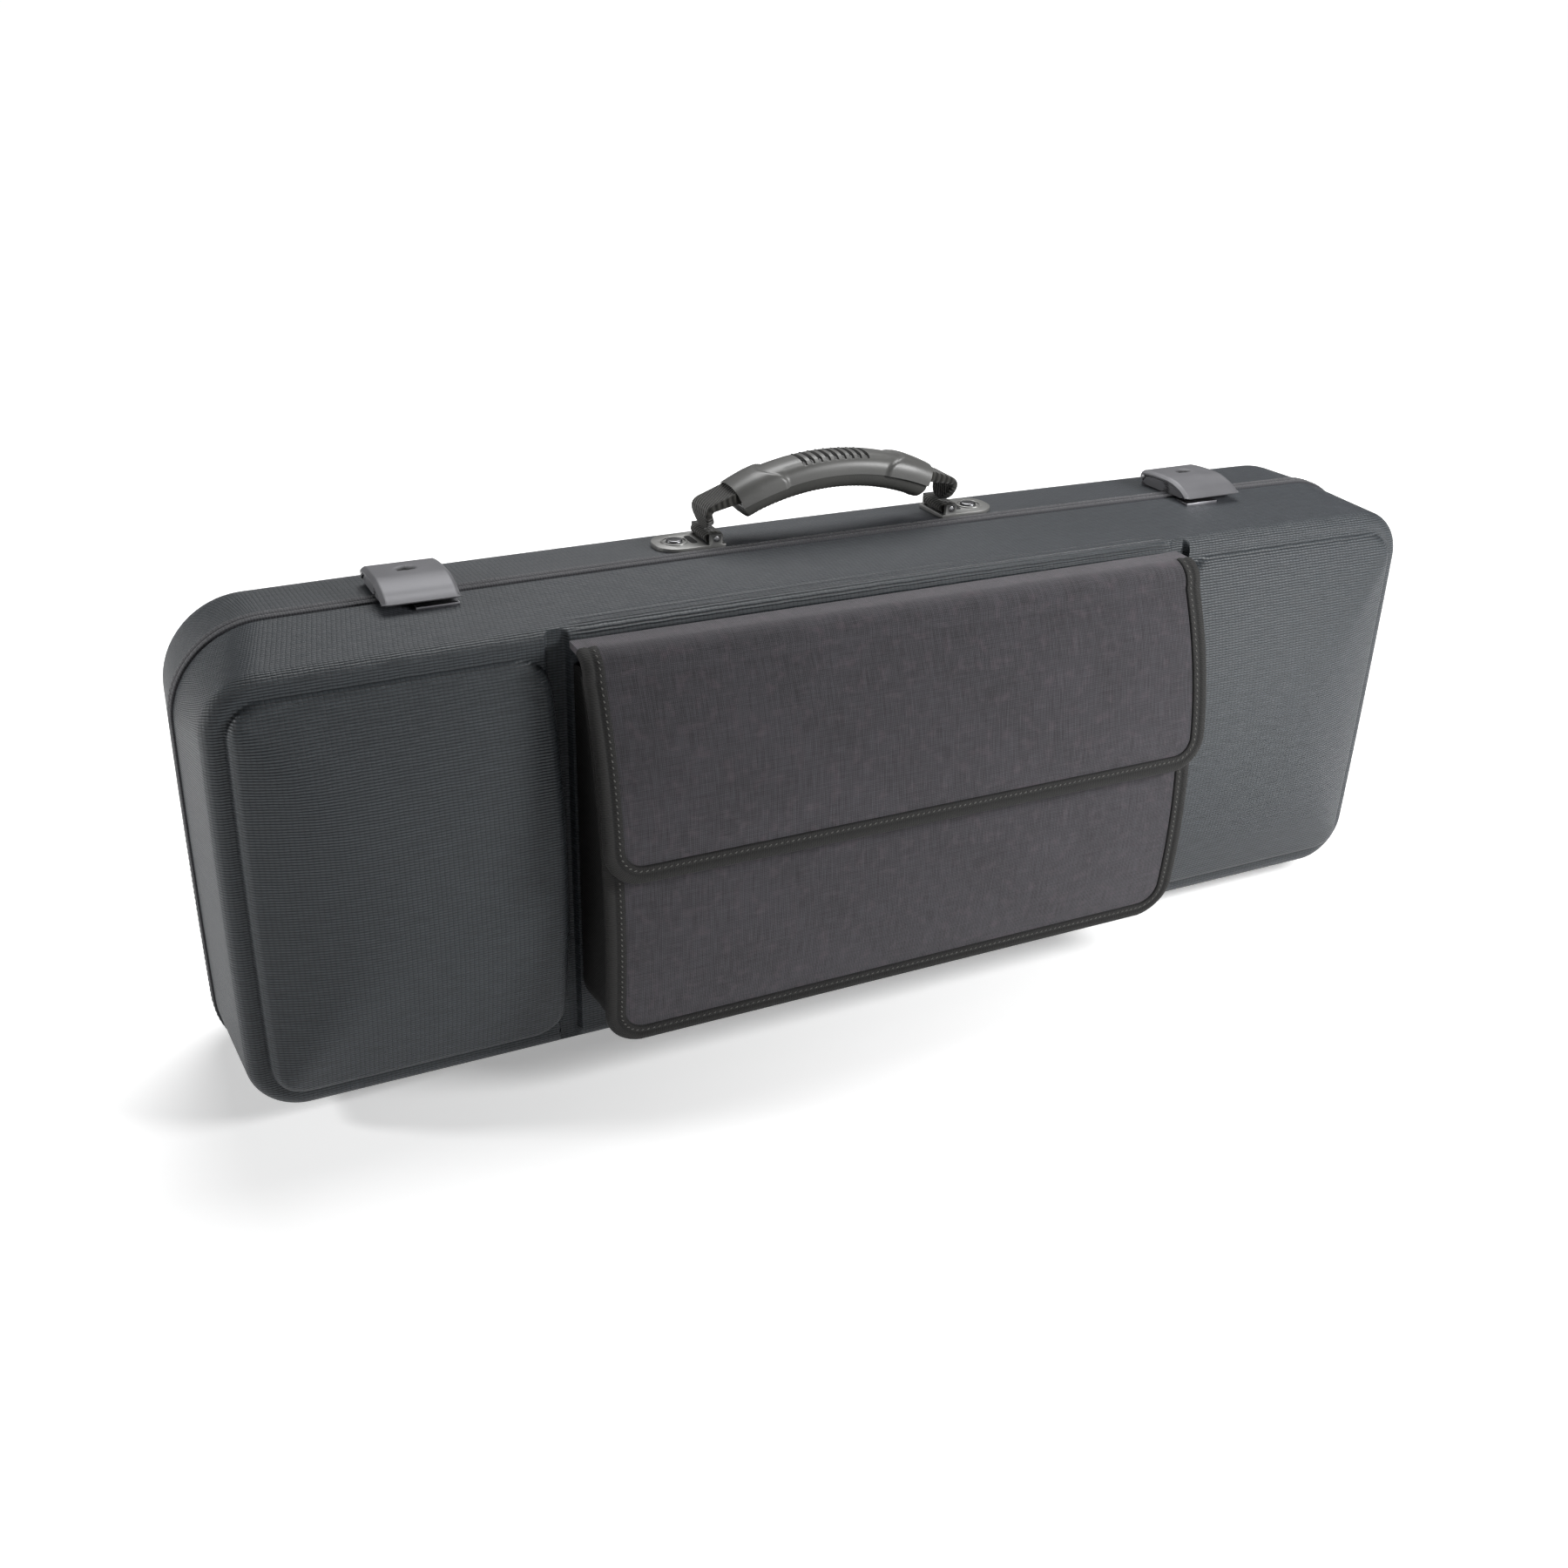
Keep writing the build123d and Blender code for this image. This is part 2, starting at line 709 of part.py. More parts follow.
# One end of the strap: out of the grip, over its bend and down to a rounded foot
def strap_end():
    angle = grip_half_angle
    start = Vector(strap_mid, 0).rotate(Axis.Z, 90 - angle)
    path = FilletPolyline(
        (start.X - strap_thickness / 5, start.Y + grip_centre + fit_gap),
        (strap_bend_x, strap_bend_height),
        (bar_x, handle_axis_z - strap_foot_radius),
        radius=strap_bend_radius,
    )
    band = trace(path, strap_thickness)
    placed = Plane((0, handle_y + strap_width / 2, 0), x_dir=(1, 0, 0), z_dir=(0, -1, 0)) * band
    solid = extrude(placed, amount=strap_width)
    above = block((0, -case_height, handle_axis_z), (half_length, case_height, 2 * case_height))
    foot_disc = cylinder_x(strap_foot_radius, 0, half_length, handle_y, handle_axis_z)
    return solid & (above + foot_disc)


handle_strap = arched(
    strap_mid - strap_thickness / 2,
    strap_mid + strap_thickness / 2,
    strap_width,
    -grip_half_angle - strap_lap,
    grip_half_angle + strap_lap,
    0,
    0,
)
one_end = strap_end()
handle_strap = handle_strap + one_end + mirror(one_end, about=Plane.YZ)
handle_strap = handle_strap - grip_shell - grip_underside
write("grip_shell", grip_shell)
write("grip_underside", grip_underside)
write("handle_strap", handle_strap)


# Latches: a plate with two ears on the base, a pin, an arched lever and a keeper on the lid
latch_seat = top_wall(latch_x, latch_pin_y, base_depth, base_draft)
latch_floor = latch_seat + latch_plate
latch_pin_z = latch_seat + latch_pin_lift + latch_plate


def latch_base(side):
    x = side * latch_x
    half = latch_width / 2 - latch_cheek - latch_side_gap
    low = (x - half, latch_base_front, latch_seat - wall / 2)
    plate = block(low, (x + half, latch_pin_y + latch_barrel, latch_floor))
    for low in (x - half, x + half - latch_ear):
        ear = cylinder_x(latch_barrel - 1, low, low + latch_ear, latch_pin_y, latch_pin_z)
        ear += block(
            (low, latch_pin_y - latch_ear_half, latch_floor),
            (low + latch_ear, latch_pin_y + latch_ear_half, latch_pin_z),
        )
        plate += ear
    plate -= cylinder_x(latch_pin_radius, x - half - 1, x + half + 1, latch_pin_y, latch_pin_z)
    return plate - base_shell - base_rim


def latch_pin(side):
    x = side * latch_x
    half = latch_width / 2
    return cylinder_x(latch_pin_radius, x - half, x + half, latch_pin_y, latch_pin_z)


def latch_lever(side):
    x = side * latch_x
    half = latch_width / 2
    low = latch_seat + latch_lip_lift + latch_edge_rise
    crest = latch_seat + latch_crest_lift
    back = latch_pin_y + latch_barrel * latch_barrel_share
    top_back = latch_pin_z + latch_barrel * latch_barrel_share
    outer = profile_along_x(
        [
            ThreePointArc((latch_lip_y, low), (latch_crest_y, crest), (back, top_back)),
            Line((back, top_back), (latch_pin_y, low)),
            Line((latch_pin_y, low), (latch_lip_y, low)),
        ],
        x - half,
        x + half,
    )
    outer += cylinder_x(latch_barrel, x - half, x + half, latch_pin_y, latch_pin_z)
    room = profile_along_x(
        [
            ThreePointArc(
                (latch_lip_y + 2 * latch_shell, low - 1),
                (latch_crest_y, crest - latch_shell),
                (latch_pin_y, top_back - latch_shell),
            ),
            Line((latch_pin_y, top_back - latch_shell), (latch_pin_y + 2 * latch_barrel, latch_pin_z)),
            Line((latch_pin_y + 2 * latch_barrel, latch_pin_z), (latch_pin_y + 2 * latch_barrel, low - 1)),
            Line((latch_pin_y + 2 * latch_barrel, low - 1), (latch_lip_y + 2 * latch_shell, low - 1)),
        ],
        x - half + latch_cheek,
        x + half - latch_cheek,
    )
    for start in (x - half + latch_cheek, x + half - latch_cheek - latch_ear_slot):
        room += cylinder_x(latch_barrel + soft_gap, start, start + latch_ear_slot, latch_pin_y, latch_pin_z)
    bore = cylinder_x(latch_pin_radius + running_gap, x - half - 1, x + half + 1, latch_pin_y, latch_pin_z)
    return outer - room - bore


def keeper(side):
    x = side * (latch_x - latch_width / 2 + keeper_width / 2 + keeper_inset)
    seat = top_wall(latch_x, latch_lip_y, lid_depth, lid_draft)
    plate = block(
        (x - keeper_width / 2, latch_lip_y - keeper_back, seat - wall / 2),
        (x + keeper_width / 2, latch_lip_y - keeper_back + keeper_length, seat + keeper_thickness),
    )
    return plate - lid_shell - lid_rim


write("latch_bases", group([latch_base(side) for side in (-1, 1)]))
write("latch_pins", group([latch_pin(side) for side in (-1, 1)]))
write("left_latch_lever", latch_lever(-1))
write("right_latch_lever", latch_lever(1))
write("keeper_plates", group([keeper(side) for side in (-1, 1)]))


# Interior of the base: foam bed with the violin's shape, cradle, pads and accessory box
def from_seam(face, start, end):
    placed = Plane((0, start, 0), x_dir=(1, 0, 0), z_dir=(0, -1, 0)) * face
    return extrude(placed, amount=end - start, dir=(0, 1, 0))


bed_gap = base_inner + lining + soft_gap
bed_room = half_block(1, base_depth - bed_gap, base_draft, bed_gap, base_edge_radius - bed_gap)
bed_base = base_depth - bed_gap
bed_cut = bed_base - bed_floor
lower_centre = violin_end + lower_bout
upper_centre = violin_end + violin_length - upper_bout
body_shape = Pos(lower_centre, middle) * Circle(lower_bout)
body_shape += Pos(upper_centre, middle) * Circle(upper_bout)
waist_centre = (lower_centre + upper_centre) / 2
body_shape += Pos(waist_centre, middle) * Rectangle(upper_centre - lower_centre, waist_width)
neck_start = upper_centre
body_shape += Pos((neck_start + neck_end) / 2, middle) * Rectangle(neck_end - neck_start, neck_width)
body_shape = fillet(body_shape.vertices(), outline_round)
violin_bed = bed_room & block((-half_length, bed_top, 0), (box_start - soft_gap, base_depth, case_height))
violin_bed -= from_seam(body_shape, 0, bed_cut)
tray_length = tray_end - tray_start
tray_centre = (tray_start + tray_end) / 2
tray_height = (case_height - neck_width) / 2 - bed_gap - 2 * tray_wall
for side in (-1, 1):
    tray_middle = middle + side * (neck_width / 2 + tray_wall + tray_height / 2)
    tray = Pos(tray_centre, tray_middle) * RectangleRounded(tray_length, tray_height, tray_corner)
    violin_bed -= from_seam(tray, 0, bed_cut)
write("violin_bed", violin_bed)

def body_pad(x, length, height):
    pad = block(
        (x - length / 2, bed_cut - pad_rise - fit_gap, middle - height / 2),
        (x + length / 2, bed_cut - fit_gap, middle + height / 2),
    )
    return fillet(pad.edges().filter_by(Axis.Y), pad_round)


body_pads = group([body_pad(lower_centre, *lower_pad), body_pad(upper_centre, *upper_pad)])
cradle_x = violin_end + violin_length + cradle_offset
cradle = block(
    (cradle_x - cradle_length / 2, cradle_top, middle - neck_width / 2 + soft_gap),
    (cradle_x + cradle_length / 2, bed_cut - fit_gap, middle + neck_width / 2 - soft_gap),
)
notch = Pos(cradle_x, middle) * Rectangle(2 * cradle_length, neck_width - 2 * cradle_cheek)
cradle -= from_seam(notch, 0, cradle_top + cradle_notch)
strap = block(
    (cradle_x - neck_strap_half, bed_top - neck_strap_depth, middle - neck_width / 2 - neck_strap_lap),
    (cradle_x + neck_strap_half, bed_top - fit_gap, middle + neck_width / 2 + neck_strap_lap),
)
write("body_pads", body_pads)
write("neck_cradle", cradle)
write("neck_strap", strap)

box_body = bed_room & block((box_start, box_top, 0), (half_length, base_depth, case_height))
box_hollow_gap = bed_gap + box_wall
box_hollow = half_block(
    1, base_depth - box_hollow_gap, base_draft, box_hollow_gap, base_edge_radius - box_hollow_gap
)
box_hollow = box_hollow & block((box_start + box_wall, 0, 0), (half_length, base_depth, case_height))
accessory_box = box_body - box_hollow
lid_plate_gap = bed_gap + box_lid_clear
box_lid_low = box_top - box_lid - fit_gap
lid_plate_room = half_block(
    1, base_depth - lid_plate_gap, base_draft, lid_plate_gap, base_edge_radius - lid_plate_gap
)
box_lid_y = box_top - fit_gap - box_lid / 2
box_hinge_x = box_start + box_lid / 2 + soft_gap
accessory_lid = lid_plate_room & block(
    (box_hinge_x, box_top - fit_gap - box_lid, 0), (half_length, box_top - fit_gap, case_height)
)
lid_low = lid_plate_gap + box_lid_margin
accessory_lid = accessory_lid & block((0, 0, lid_low), (half_length, base_depth, case_height - lid_low))
accessory_lid += Pos(box_hinge_x, box_lid_y, middle) * Cylinder(box_lid / 2, case_height - 2 * lid_low)
tab = block(
    (half_length - lid_plate_gap - tab_far, box_lid_low - fit_gap - tab_thickness, middle - tab_half),
    (half_length - lid_plate_gap - tab_near, box_lid_low - fit_gap, middle + tab_half),
)
write("accessory_box", accessory_box)
write("accessory_lid", accessory_lid)
write("accessory_pull_tab", tab)

# Inside of the lid: bow holders at one end and bow sleeves at the other
holder_y = -lid_lining_floor + fit_gap
holder_top = holder_y + holder_base


def bow_holder(z):
    return cylinder_y(holder_radius, spinner_x, holder_y, holder_top, z) + cylinder_y(
        spindle_radius, spinner_x, holder_top, holder_top + spinner_thickness + 2 * fit_gap, z
    )


def bow_spinner(z):
    face = Pos(spinner_x, z) * Rot(0, 0, 90) * SlotOverall(spinner_length, spinner_width)
    solid = from_seam(face, holder_top + fit_gap, holder_top + fit_gap + spinner_thickness)
    return solid - cylinder_y(spindle_radius + running_gap, spinner_x, holder_top - 1, 0, z)


def bow_sleeve(z):
    x = box_start - sleeve_lead
    half = sleeve_width / 2
    outer = block((x, holder_y, z - half), (x + sleeve_length, holder_y + sleeve_height, z + half))
    inner = block(
        (x - 1, holder_y + sleeve_wall, z - half + sleeve_wall),
        (x + sleeve_length - sleeve_wall, holder_y + sleeve_height - sleeve_wall, z + half - sleeve_wall),
    )
    return outer - inner


write("bow_holder_bases", group([bow_holder(z) for z in bow_heights]))
write("lower_bow_spinner", bow_spinner(bow_heights[0]))
write("upper_bow_spinner", bow_spinner(bow_heights[1]))
write("bow_sleeves", group([bow_sleeve(z) for z in bow_heights]))

print("seam y", seam_y, "hinge z", hinge_z + feet_drop, "handle axis z", handle_axis_z + feet_drop)
print("latch pin z", latch_pin_z + feet_drop, "box hinge", box_hinge_x, box_lid_y + seam_y)
flap_hinge_y = -lid_depth - soft_gap - flap_thickness / 2
print("flap hinge", flap_hinge_y + seam_y, flap_top - flap_thickness / 2 + feet_drop)
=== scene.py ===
import json
import math
from functools import partialmethod

import bmesh
import bpy
import numpy as np
from mathutils import Matrix, Vector

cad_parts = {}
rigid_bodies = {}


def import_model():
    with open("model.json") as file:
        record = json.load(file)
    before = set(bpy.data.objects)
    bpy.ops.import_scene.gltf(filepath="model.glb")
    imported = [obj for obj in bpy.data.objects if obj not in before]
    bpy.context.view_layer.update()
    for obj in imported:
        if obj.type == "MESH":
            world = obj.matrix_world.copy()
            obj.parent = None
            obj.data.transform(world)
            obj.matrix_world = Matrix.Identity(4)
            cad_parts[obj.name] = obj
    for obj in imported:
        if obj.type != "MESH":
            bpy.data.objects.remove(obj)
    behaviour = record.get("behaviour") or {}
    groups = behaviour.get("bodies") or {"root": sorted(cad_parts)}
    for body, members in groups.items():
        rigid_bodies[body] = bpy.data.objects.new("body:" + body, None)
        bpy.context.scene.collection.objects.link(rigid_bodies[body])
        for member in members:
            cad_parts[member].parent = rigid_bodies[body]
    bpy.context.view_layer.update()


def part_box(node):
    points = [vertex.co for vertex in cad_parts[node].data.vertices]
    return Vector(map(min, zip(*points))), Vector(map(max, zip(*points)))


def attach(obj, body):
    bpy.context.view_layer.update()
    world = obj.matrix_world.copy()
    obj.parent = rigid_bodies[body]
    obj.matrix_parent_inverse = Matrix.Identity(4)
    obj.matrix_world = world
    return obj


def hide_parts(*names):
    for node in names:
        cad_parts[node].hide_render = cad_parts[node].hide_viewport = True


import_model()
print("frame loaded")

mm = 0.001

# The closed case, read from the frame: the seam plane, the outline there and the heights that go with it
case = {
    "overhang": 1 * mm,
    "topCrown": 3.5 * mm,
    "endCrown": 1.5 * mm,
    "cornerRadius": 50 * mm,
    "rimWidth": 5 * mm,
    "rimInside": 9.4 * mm,
    "seamGap": 0.3 * mm,
}
rimLow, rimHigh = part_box("base_rim")
seamY = (rimLow.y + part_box("lid_rim")[1].y) / 2
halfLength = rimHigh.x - case["overhang"] - case["endCrown"]
bottomZ = rimLow.z + case["overhang"]
topZ = rimHigh.z - case["overhang"] - case["topCrown"]
middleZ = (bottomZ + topZ) / 2
halfHeight = (topZ - bottomZ) / 2


# Shader arithmetic: a socket wrapped so that Python operators add the nodes
class Amount:
    def __init__(self, finish, socket):
        self.finish = finish
        self.socket = socket

    def maths(self, operation, *others):
        values = dict(enumerate([self, *others]))
        return self.finish.node("ShaderNodeMath", {"operation": operation}, values, "Value")

    __add__ = __radd__ = partialmethod(maths, "ADD")
    __sub__ = partialmethod(maths, "SUBTRACT")
    __mul__ = __rmul__ = partialmethod(maths, "MULTIPLY")
    __truediv__ = partialmethod(maths, "DIVIDE")
    __pow__ = partialmethod(maths, "POWER")
    wave = partialmethod(maths, "SINE")

    def __rsub__(self, other):
        return self * -1 + other

    # Rounded ribs, 0 to 1, one to each pitch
    def ribs(self, pitch):
        return (self * (math.pi / pitch)).wave().maths("ABSOLUTE")

    def clear(self):
        return self.maths("MAXIMUM", 0).maths("MINIMUM", 1)


shineSockets = {
    "sheen": "Sheen Weight",
    "sheenRough": "Sheen Roughness",
    "sheenTint": "Sheen Tint",
    "specular": "Specular IOR Level",
    "glow": "Emission Color",
    "glowStrength": "Emission Strength",
}
finishes = {}


# A material whose nodes come from one method
class Finish:
    def __init__(self, name):
        self.name = name
        self.material = bpy.data.materials.new(name)
        self.material.use_nodes = True
        self.tree = self.material.node_tree
        self.tree.nodes.clear()

    def node(self, kind, settings, values, output=None):
        made = self.tree.nodes.new(kind)
        for key, value in settings.items():
            setattr(made, key, value)
        for key, value in values.items():
            target = self.find(made.inputs, key)
            if isinstance(value, Amount):
                self.tree.links.new(value.socket, target)
            else:
                target.default_value = value
        return made if output is None else Amount(self, self.find(made.outputs, output))

    def find(self, sockets, key):
        if isinstance(key, int):
            return sockets[key]
        named = [socket for socket in sockets if socket.identifier == key]
        return named[0] if named else sockets[key]

    def parts(self, vector):
        split = self.node("ShaderNodeSeparateXYZ", {}, {"Vector": vector})
        return [Amount(self, socket) for socket in split.outputs]

    def stretched(self, vector, stretch):
        if not stretch:
            return vector
        settings = {"operation": "MULTIPLY"}
        return self.node("ShaderNodeVectorMath", settings, {0: vector, 1: stretch}, "Vector")

    def place(self, *stretch):
        return self.stretched(self.node("ShaderNodeTexCoord", {}, {}, "Object"), stretch)

    def cloth(self, *stretch):
        return self.stretched(self.node("ShaderNodeUVMap", {"uv_map": "cloth"}, {}, "UV"), stretch)

    # The mark attribute: 1 where cloth is pleated, and where shade is painted dark
    def mark(self):
        return self.node("ShaderNodeAttribute", {"attribute_name": "pleatAndShade"}, {}, "Fac")

    def noise(self, vector, scale, detail=2.0, rough=0.5):
        values = {"Vector": vector, "Scale": scale, "Detail": detail, "Roughness": rough}
        return self.node("ShaderNodeTexNoise", {}, values, "Fac")

    def blend(self, factor, first, second):
        settings = {"data_type": "RGBA", "clamp_factor": True}
        values = {"Factor_Float": factor, "A_Color": first, "B_Color": second}
        return self.node("ShaderNodeMix", settings, values, "Result_Color")

    # A tone from 0 to 1 as a colour between two sRGB shades
    def dyed(self, tone, dark, light):
        return self.blend(tone, shade(*dark), shade(*light))

    # The finished surface; height is the relief that the bump reads
    def done(self, colour, rough, height=None, metal=0.0, **shine):
        values = {"Base Color": colour, "Roughness": rough, "Metallic": metal}
        if height is not None:
            relief = {"Height": height, "Distance": 1.0, "Strength": 1.0}
            values["Normal"] = self.node("ShaderNodeBump", {}, relief, "Normal")
        values |= {shineSockets[key]: value for key, value in shine.items()}
        surface = self.node("ShaderNodeBsdfPrincipled", {}, values, "BSDF")
        self.node("ShaderNodeOutputMaterial", {}, {"Surface": surface})
        finishes[self.name] = self.material
        return self.material


# sRGB shade, 0 to 255, as the linear colour that sockets take
def shade(*levels):
    linear = [((c / 255 + 0.055) / 1.055) ** 2.4 if c > 10 else c / 255 / 12.92 for c in levels]
    return (*linear, 1.0)


# Ribbed shell cloth: short ribs side by side in narrow columns, as on a moulded nylon cover
shellCloth = {
    "dark": (12, 13, 15),
    "light": (57, 62, 66),
    "sheenTint": (205, 200, 212),
    "ribPitch": 1.6 * mm,
    "columnPitch": 2.6 * mm,
    "ribDepth": 0.44 * mm,
    "pleatPitch": 2.3 * mm,
    "pleatDepth": 0.35 * mm,
}


def shellClothFinish():
    v = shellCloth
    f = Finish("shellCloth")
    x, z, _ = f.parts(f.cloth())
    wander = (f.noise(f.cloth(), 90) - 0.5) * 0.8 * mm
    column = (x + wander).ribs(v["columnPitch"])
    rib = (z + wander).ribs(v["ribPitch"])
    broken = f.noise(f.cloth(1, 5, 1), 70)
    weave = ((column ** 0.4) * 0.4 + 0.6) * (0.2 + (rib ** 0.8) * (0.35 + broken * 0.9))
    patch = f.noise(f.cloth(), 7, 3)
    thread = f.noise(f.cloth(1, 6, 1), 420, 1)
    pleatAndShade = ((z + wander) * (2 * math.pi / v["pleatPitch"])).wave() * f.mark()
    # The pleats' tone follows their wave: painted light on the crests and painted shade in the troughs
    tone = (weave * 0.85 + thread * 0.3 + patch * 0.2 - 0.2 + pleatAndShade * 0.15).clear()
    height = weave * v["ribDepth"] + thread * 0.05 * mm + pleatAndShade * v["pleatDepth"]
    shine = {"sheen": 0.05, "sheenRough": 0.35, "sheenTint": shade(*v["sheenTint"]), "specular": 0.38}
    f.done(f.dyed(tone, v["dark"], v["light"]), 0.55 - weave * 0.1 + patch * 0.06, height, **shine)


# Heathered pocket cloth: a fine plain weave of dark threads of slightly different dye
pocketCloth = {
    "dark": (24, 23, 25),
    "light": (78, 76, 82),
    "warm": (74, 64, 70),
    "sheenTint": (200, 196, 200),
    "threadPitch": 0.9 * mm,
    "threadDepth": 0.14 * mm,
}


def pocketClothFinish():
    v = pocketCloth
    f = Finish("pocketCloth")
    x, z, _ = f.parts(f.cloth())
    weave = x.ribs(v["threadPitch"]) * z.ribs(v["threadPitch"])
    slubAcross = f.noise(f.cloth(60, 900, 1), 1)
    slubUp = f.noise(f.cloth(900, 60, 1), 1)
    patch = f.noise(f.cloth(), 22, 3)
    warmth = ((f.noise(f.cloth(), 140) - 0.52) * 5).clear() * 0.35
    tone = (weave * 0.3 + slubAcross * 0.35 + slubUp * 0.55 + patch * 0.3 - 0.42).clear()
    colour = f.blend(warmth, f.dyed(tone, v["dark"], v["light"]), shade(*v["warm"]))
    height = (weave + slubAcross * 0.5 + slubUp * 0.5) * v["threadDepth"]
    shine = {"sheen": 0.3, "sheenRough": 0.5, "sheenTint": shade(*v["sheenTint"]), "specular": 0.3}
    f.done(colour, 0.82 + patch * 0.08, height, **shine)


# Webbing with a coarse diagonal twill
webbing = {"dark": (13, 13, 12), "light": (56, 55, 51), "twillPitch": 2.6 * mm, "yarnPitch": 1.3 * mm}


def webbingFinish():
    v = webbing
    f = Finish("webbing")
    along, across, _ = f.parts(f.cloth())
    twill = ((along * 0.7 + across) * (2 * math.pi / v["twillPitch"])).wave() * 0.5 + 0.5
    yarn = across.ribs(v["yarnPitch"])
    tone = (twill * 0.55 + yarn * 0.2 + f.noise(f.cloth(), 120) * 0.4 - 0.1).clear()
    height = (twill + yarn * 0.3) * 0.5 * mm
    f.done(f.dyed(tone, v["dark"], v["light"]), 0.75, height, sheen=0.2, sheenRough=0.5, specular=0.3)


# Hook and loop strip: a dense field of small dots in rows
def hookLoopFinish():
    f = Finish("hookLoop")
    x, _, z = f.parts(f.place())
    rows = x.ribs(1.4 * mm) * z.ribs(1.4 * mm)
    fuzz = f.noise(f.place(), 1300)
    colour = f.dyed((rows * 0.6 + fuzz * 0.5 - 0.1).clear(), (16, 16, 17), (58, 58, 60))
    f.done(colour, 0.8, (rows + fuzz * 0.4) * 0.4 * mm, sheen=0.3)


# Woven tape: ribs across its run, with painted shade darkening it where marked
def tapeFinish(name, dark, light, pitch, sheen):
    f = Finish(name)
    along, across, _ = f.parts(f.cloth())
    rib = along.ribs(pitch)
    cross = (across + along).ribs(pitch * 1.7)
    patch = f.noise(f.cloth(), 60)
    tone = (rib * 0.5 + cross * 0.2 + patch * 0.5 - 0.15).clear() * (1 - f.mark())
    height = (rib + cross * 0.5) * 0.12 * mm
    f.done(f.dyed(tone, dark, light), 0.72 + patch * 0.1, height, sheen=sheen, sheenRough=0.5, specular=0.35)


# Sewing thread with its ply showing as fine bands
def threadFinish(name, dark, light):
    f = Finish(name)
    bands = f.noise(f.place(), 900, 1)
    f.done(f.dyed(bands, dark, light), 0.6 + bands * 0.15, sheen=0.2)


# Moulded plastic or rubber: fine grain, faint mottling and handling wear
def mouldedFinish(name, dark, light, rough, grain, depth, specular=0.5):
    f = Finish(name)
    pores = f.noise(f.place(), grain, 2, 0.6)
    mottle = f.noise(f.place(), 35, 3)
    colour = f.dyed((mottle * 0.7 + pores * 0.3).clear(), dark, light)
    worn = rough + (mottle - 0.5) * 0.12 + (pores - 0.5) * 0.1
    f.done(colour, worn, pores * depth, specular=specular)


# Metal: tumbled or brushed along one axis; painted shade darkens its marked hollows to near black
def metalFinish(name, dark, light, rough, metal=1.0, shadedHollows=False, brush=()):
    f = Finish(name)
    lines = f.noise(f.place(*brush), 900, 2, 0.6)
    cloud = f.noise(f.place(), 60, 3)
    colour = f.dyed((lines * 0.4 + cloud * 0.6).clear(), dark, light)
    rough = rough + (lines - 0.5) * 0.12 + (cloud - 0.5) * 0.1
    # Painted shade: marked hollows blend to near black, rougher and less metallic
    if shadedHollows:
        hollowShade = f.mark()
        colour = f.blend(hollowShade, colour, shade(9, 9, 10))
        rough = rough + hollowShade * 0.4
        metal = (1 - hollowShade) * metal
    f.done(colour, rough, lines * 0.02 * mm, metal)


# Short-pile velour: soft patches where the pile lies one way or the other
def velourFinish(name, dark, light):
    f = Finish(name)
    patch = f.noise(f.place(), 16, 3)
    pile = f.noise(f.place(), 1500, 2, 0.7)
    colour = f.dyed(((patch - 0.5) * 1.1 + 0.42 + (pile - 0.5) * 0.9).clear(), dark, light)
    shine = {"sheen": 0.6, "sheenRough": 0.35, "sheenTint": shade(*light), "specular": 0.15}
    f.done(colour, 0.9 - patch * 0.08, pile * 0.3 * mm, **shine)


# Dark and light shade, then what each maker takes after them
finishKinds = {
    tapeFinish: {
        "gussetCloth": ((5, 5, 5), (20, 20, 20), 1.6 * mm, 0.0),
        "bindingTape": ((4, 4, 4), (33, 32, 31), 1.3 * mm, 0.02),
        "seamTape": ((30, 30, 33), (62, 62, 66), 1.5 * mm, 0.15),
    },
    threadFinish: {
        "stitchThread": ((50, 50, 48), (88, 87, 83)),
        "seamThread": ((44, 44, 47), (78, 79, 83)),
    },
    mouldedFinish: {
        "gripPlastic": ((68, 68, 67), (92, 92, 90), 0.4, 1500, 0.03 * mm),
        "gripRubber": ((44, 44, 43), (66, 66, 63), 0.66, 1100, 0.12 * mm, 0.35),
        "slotRubber": ((12, 12, 12), (24, 24, 24), 0.75, 1200, 0.08 * mm, 0.3),
        "footRubber": ((22, 22, 23), (38, 38, 39), 0.75, 900, 0.1 * mm, 0.3),
        "holderPlastic": ((16, 16, 17), (30, 30, 31), 0.35, 1400, 0.02 * mm),
        "foam": ((58, 58, 60), (86, 86, 88), 0.9, 700, 0.5 * mm, 0.2),
        "latchBase": ((40, 40, 42), (62, 62, 64), 0.45, 1200, 0.03 * mm),
    },
    metalFinish: {
        "latchCover": ((88, 88, 91), (114, 114, 117), 0.54, 0.45, True, (1, 14, 14)),
        "keeperMetal": ((128, 128, 132), (168, 168, 172), 0.34),
        "bracketMetal": ((104, 104, 103), (150, 150, 148), 0.42, 0.6, True),
        "rivetMetal": ((96, 96, 98), (140, 140, 142), 0.32),
        "steel": ((120, 120, 122), (176, 176, 178), 0.3),
        "darkMetal": ((30, 30, 32), (60, 60, 63), 0.42, 0.8),
    },
    velourFinish: {
        "velour": ((30, 32, 44), (62, 66, 88)),
        "bedVelour": ((38, 40, 54), (76, 80, 104)),
    },
}
shellClothFinish()
pocketClothFinish()
webbingFinish()
hookLoopFinish()
for makeFinish, kinds in finishKinds.items():
    for name, given in kinds.items():
        makeFinish(name, *given)
print("finishes made")


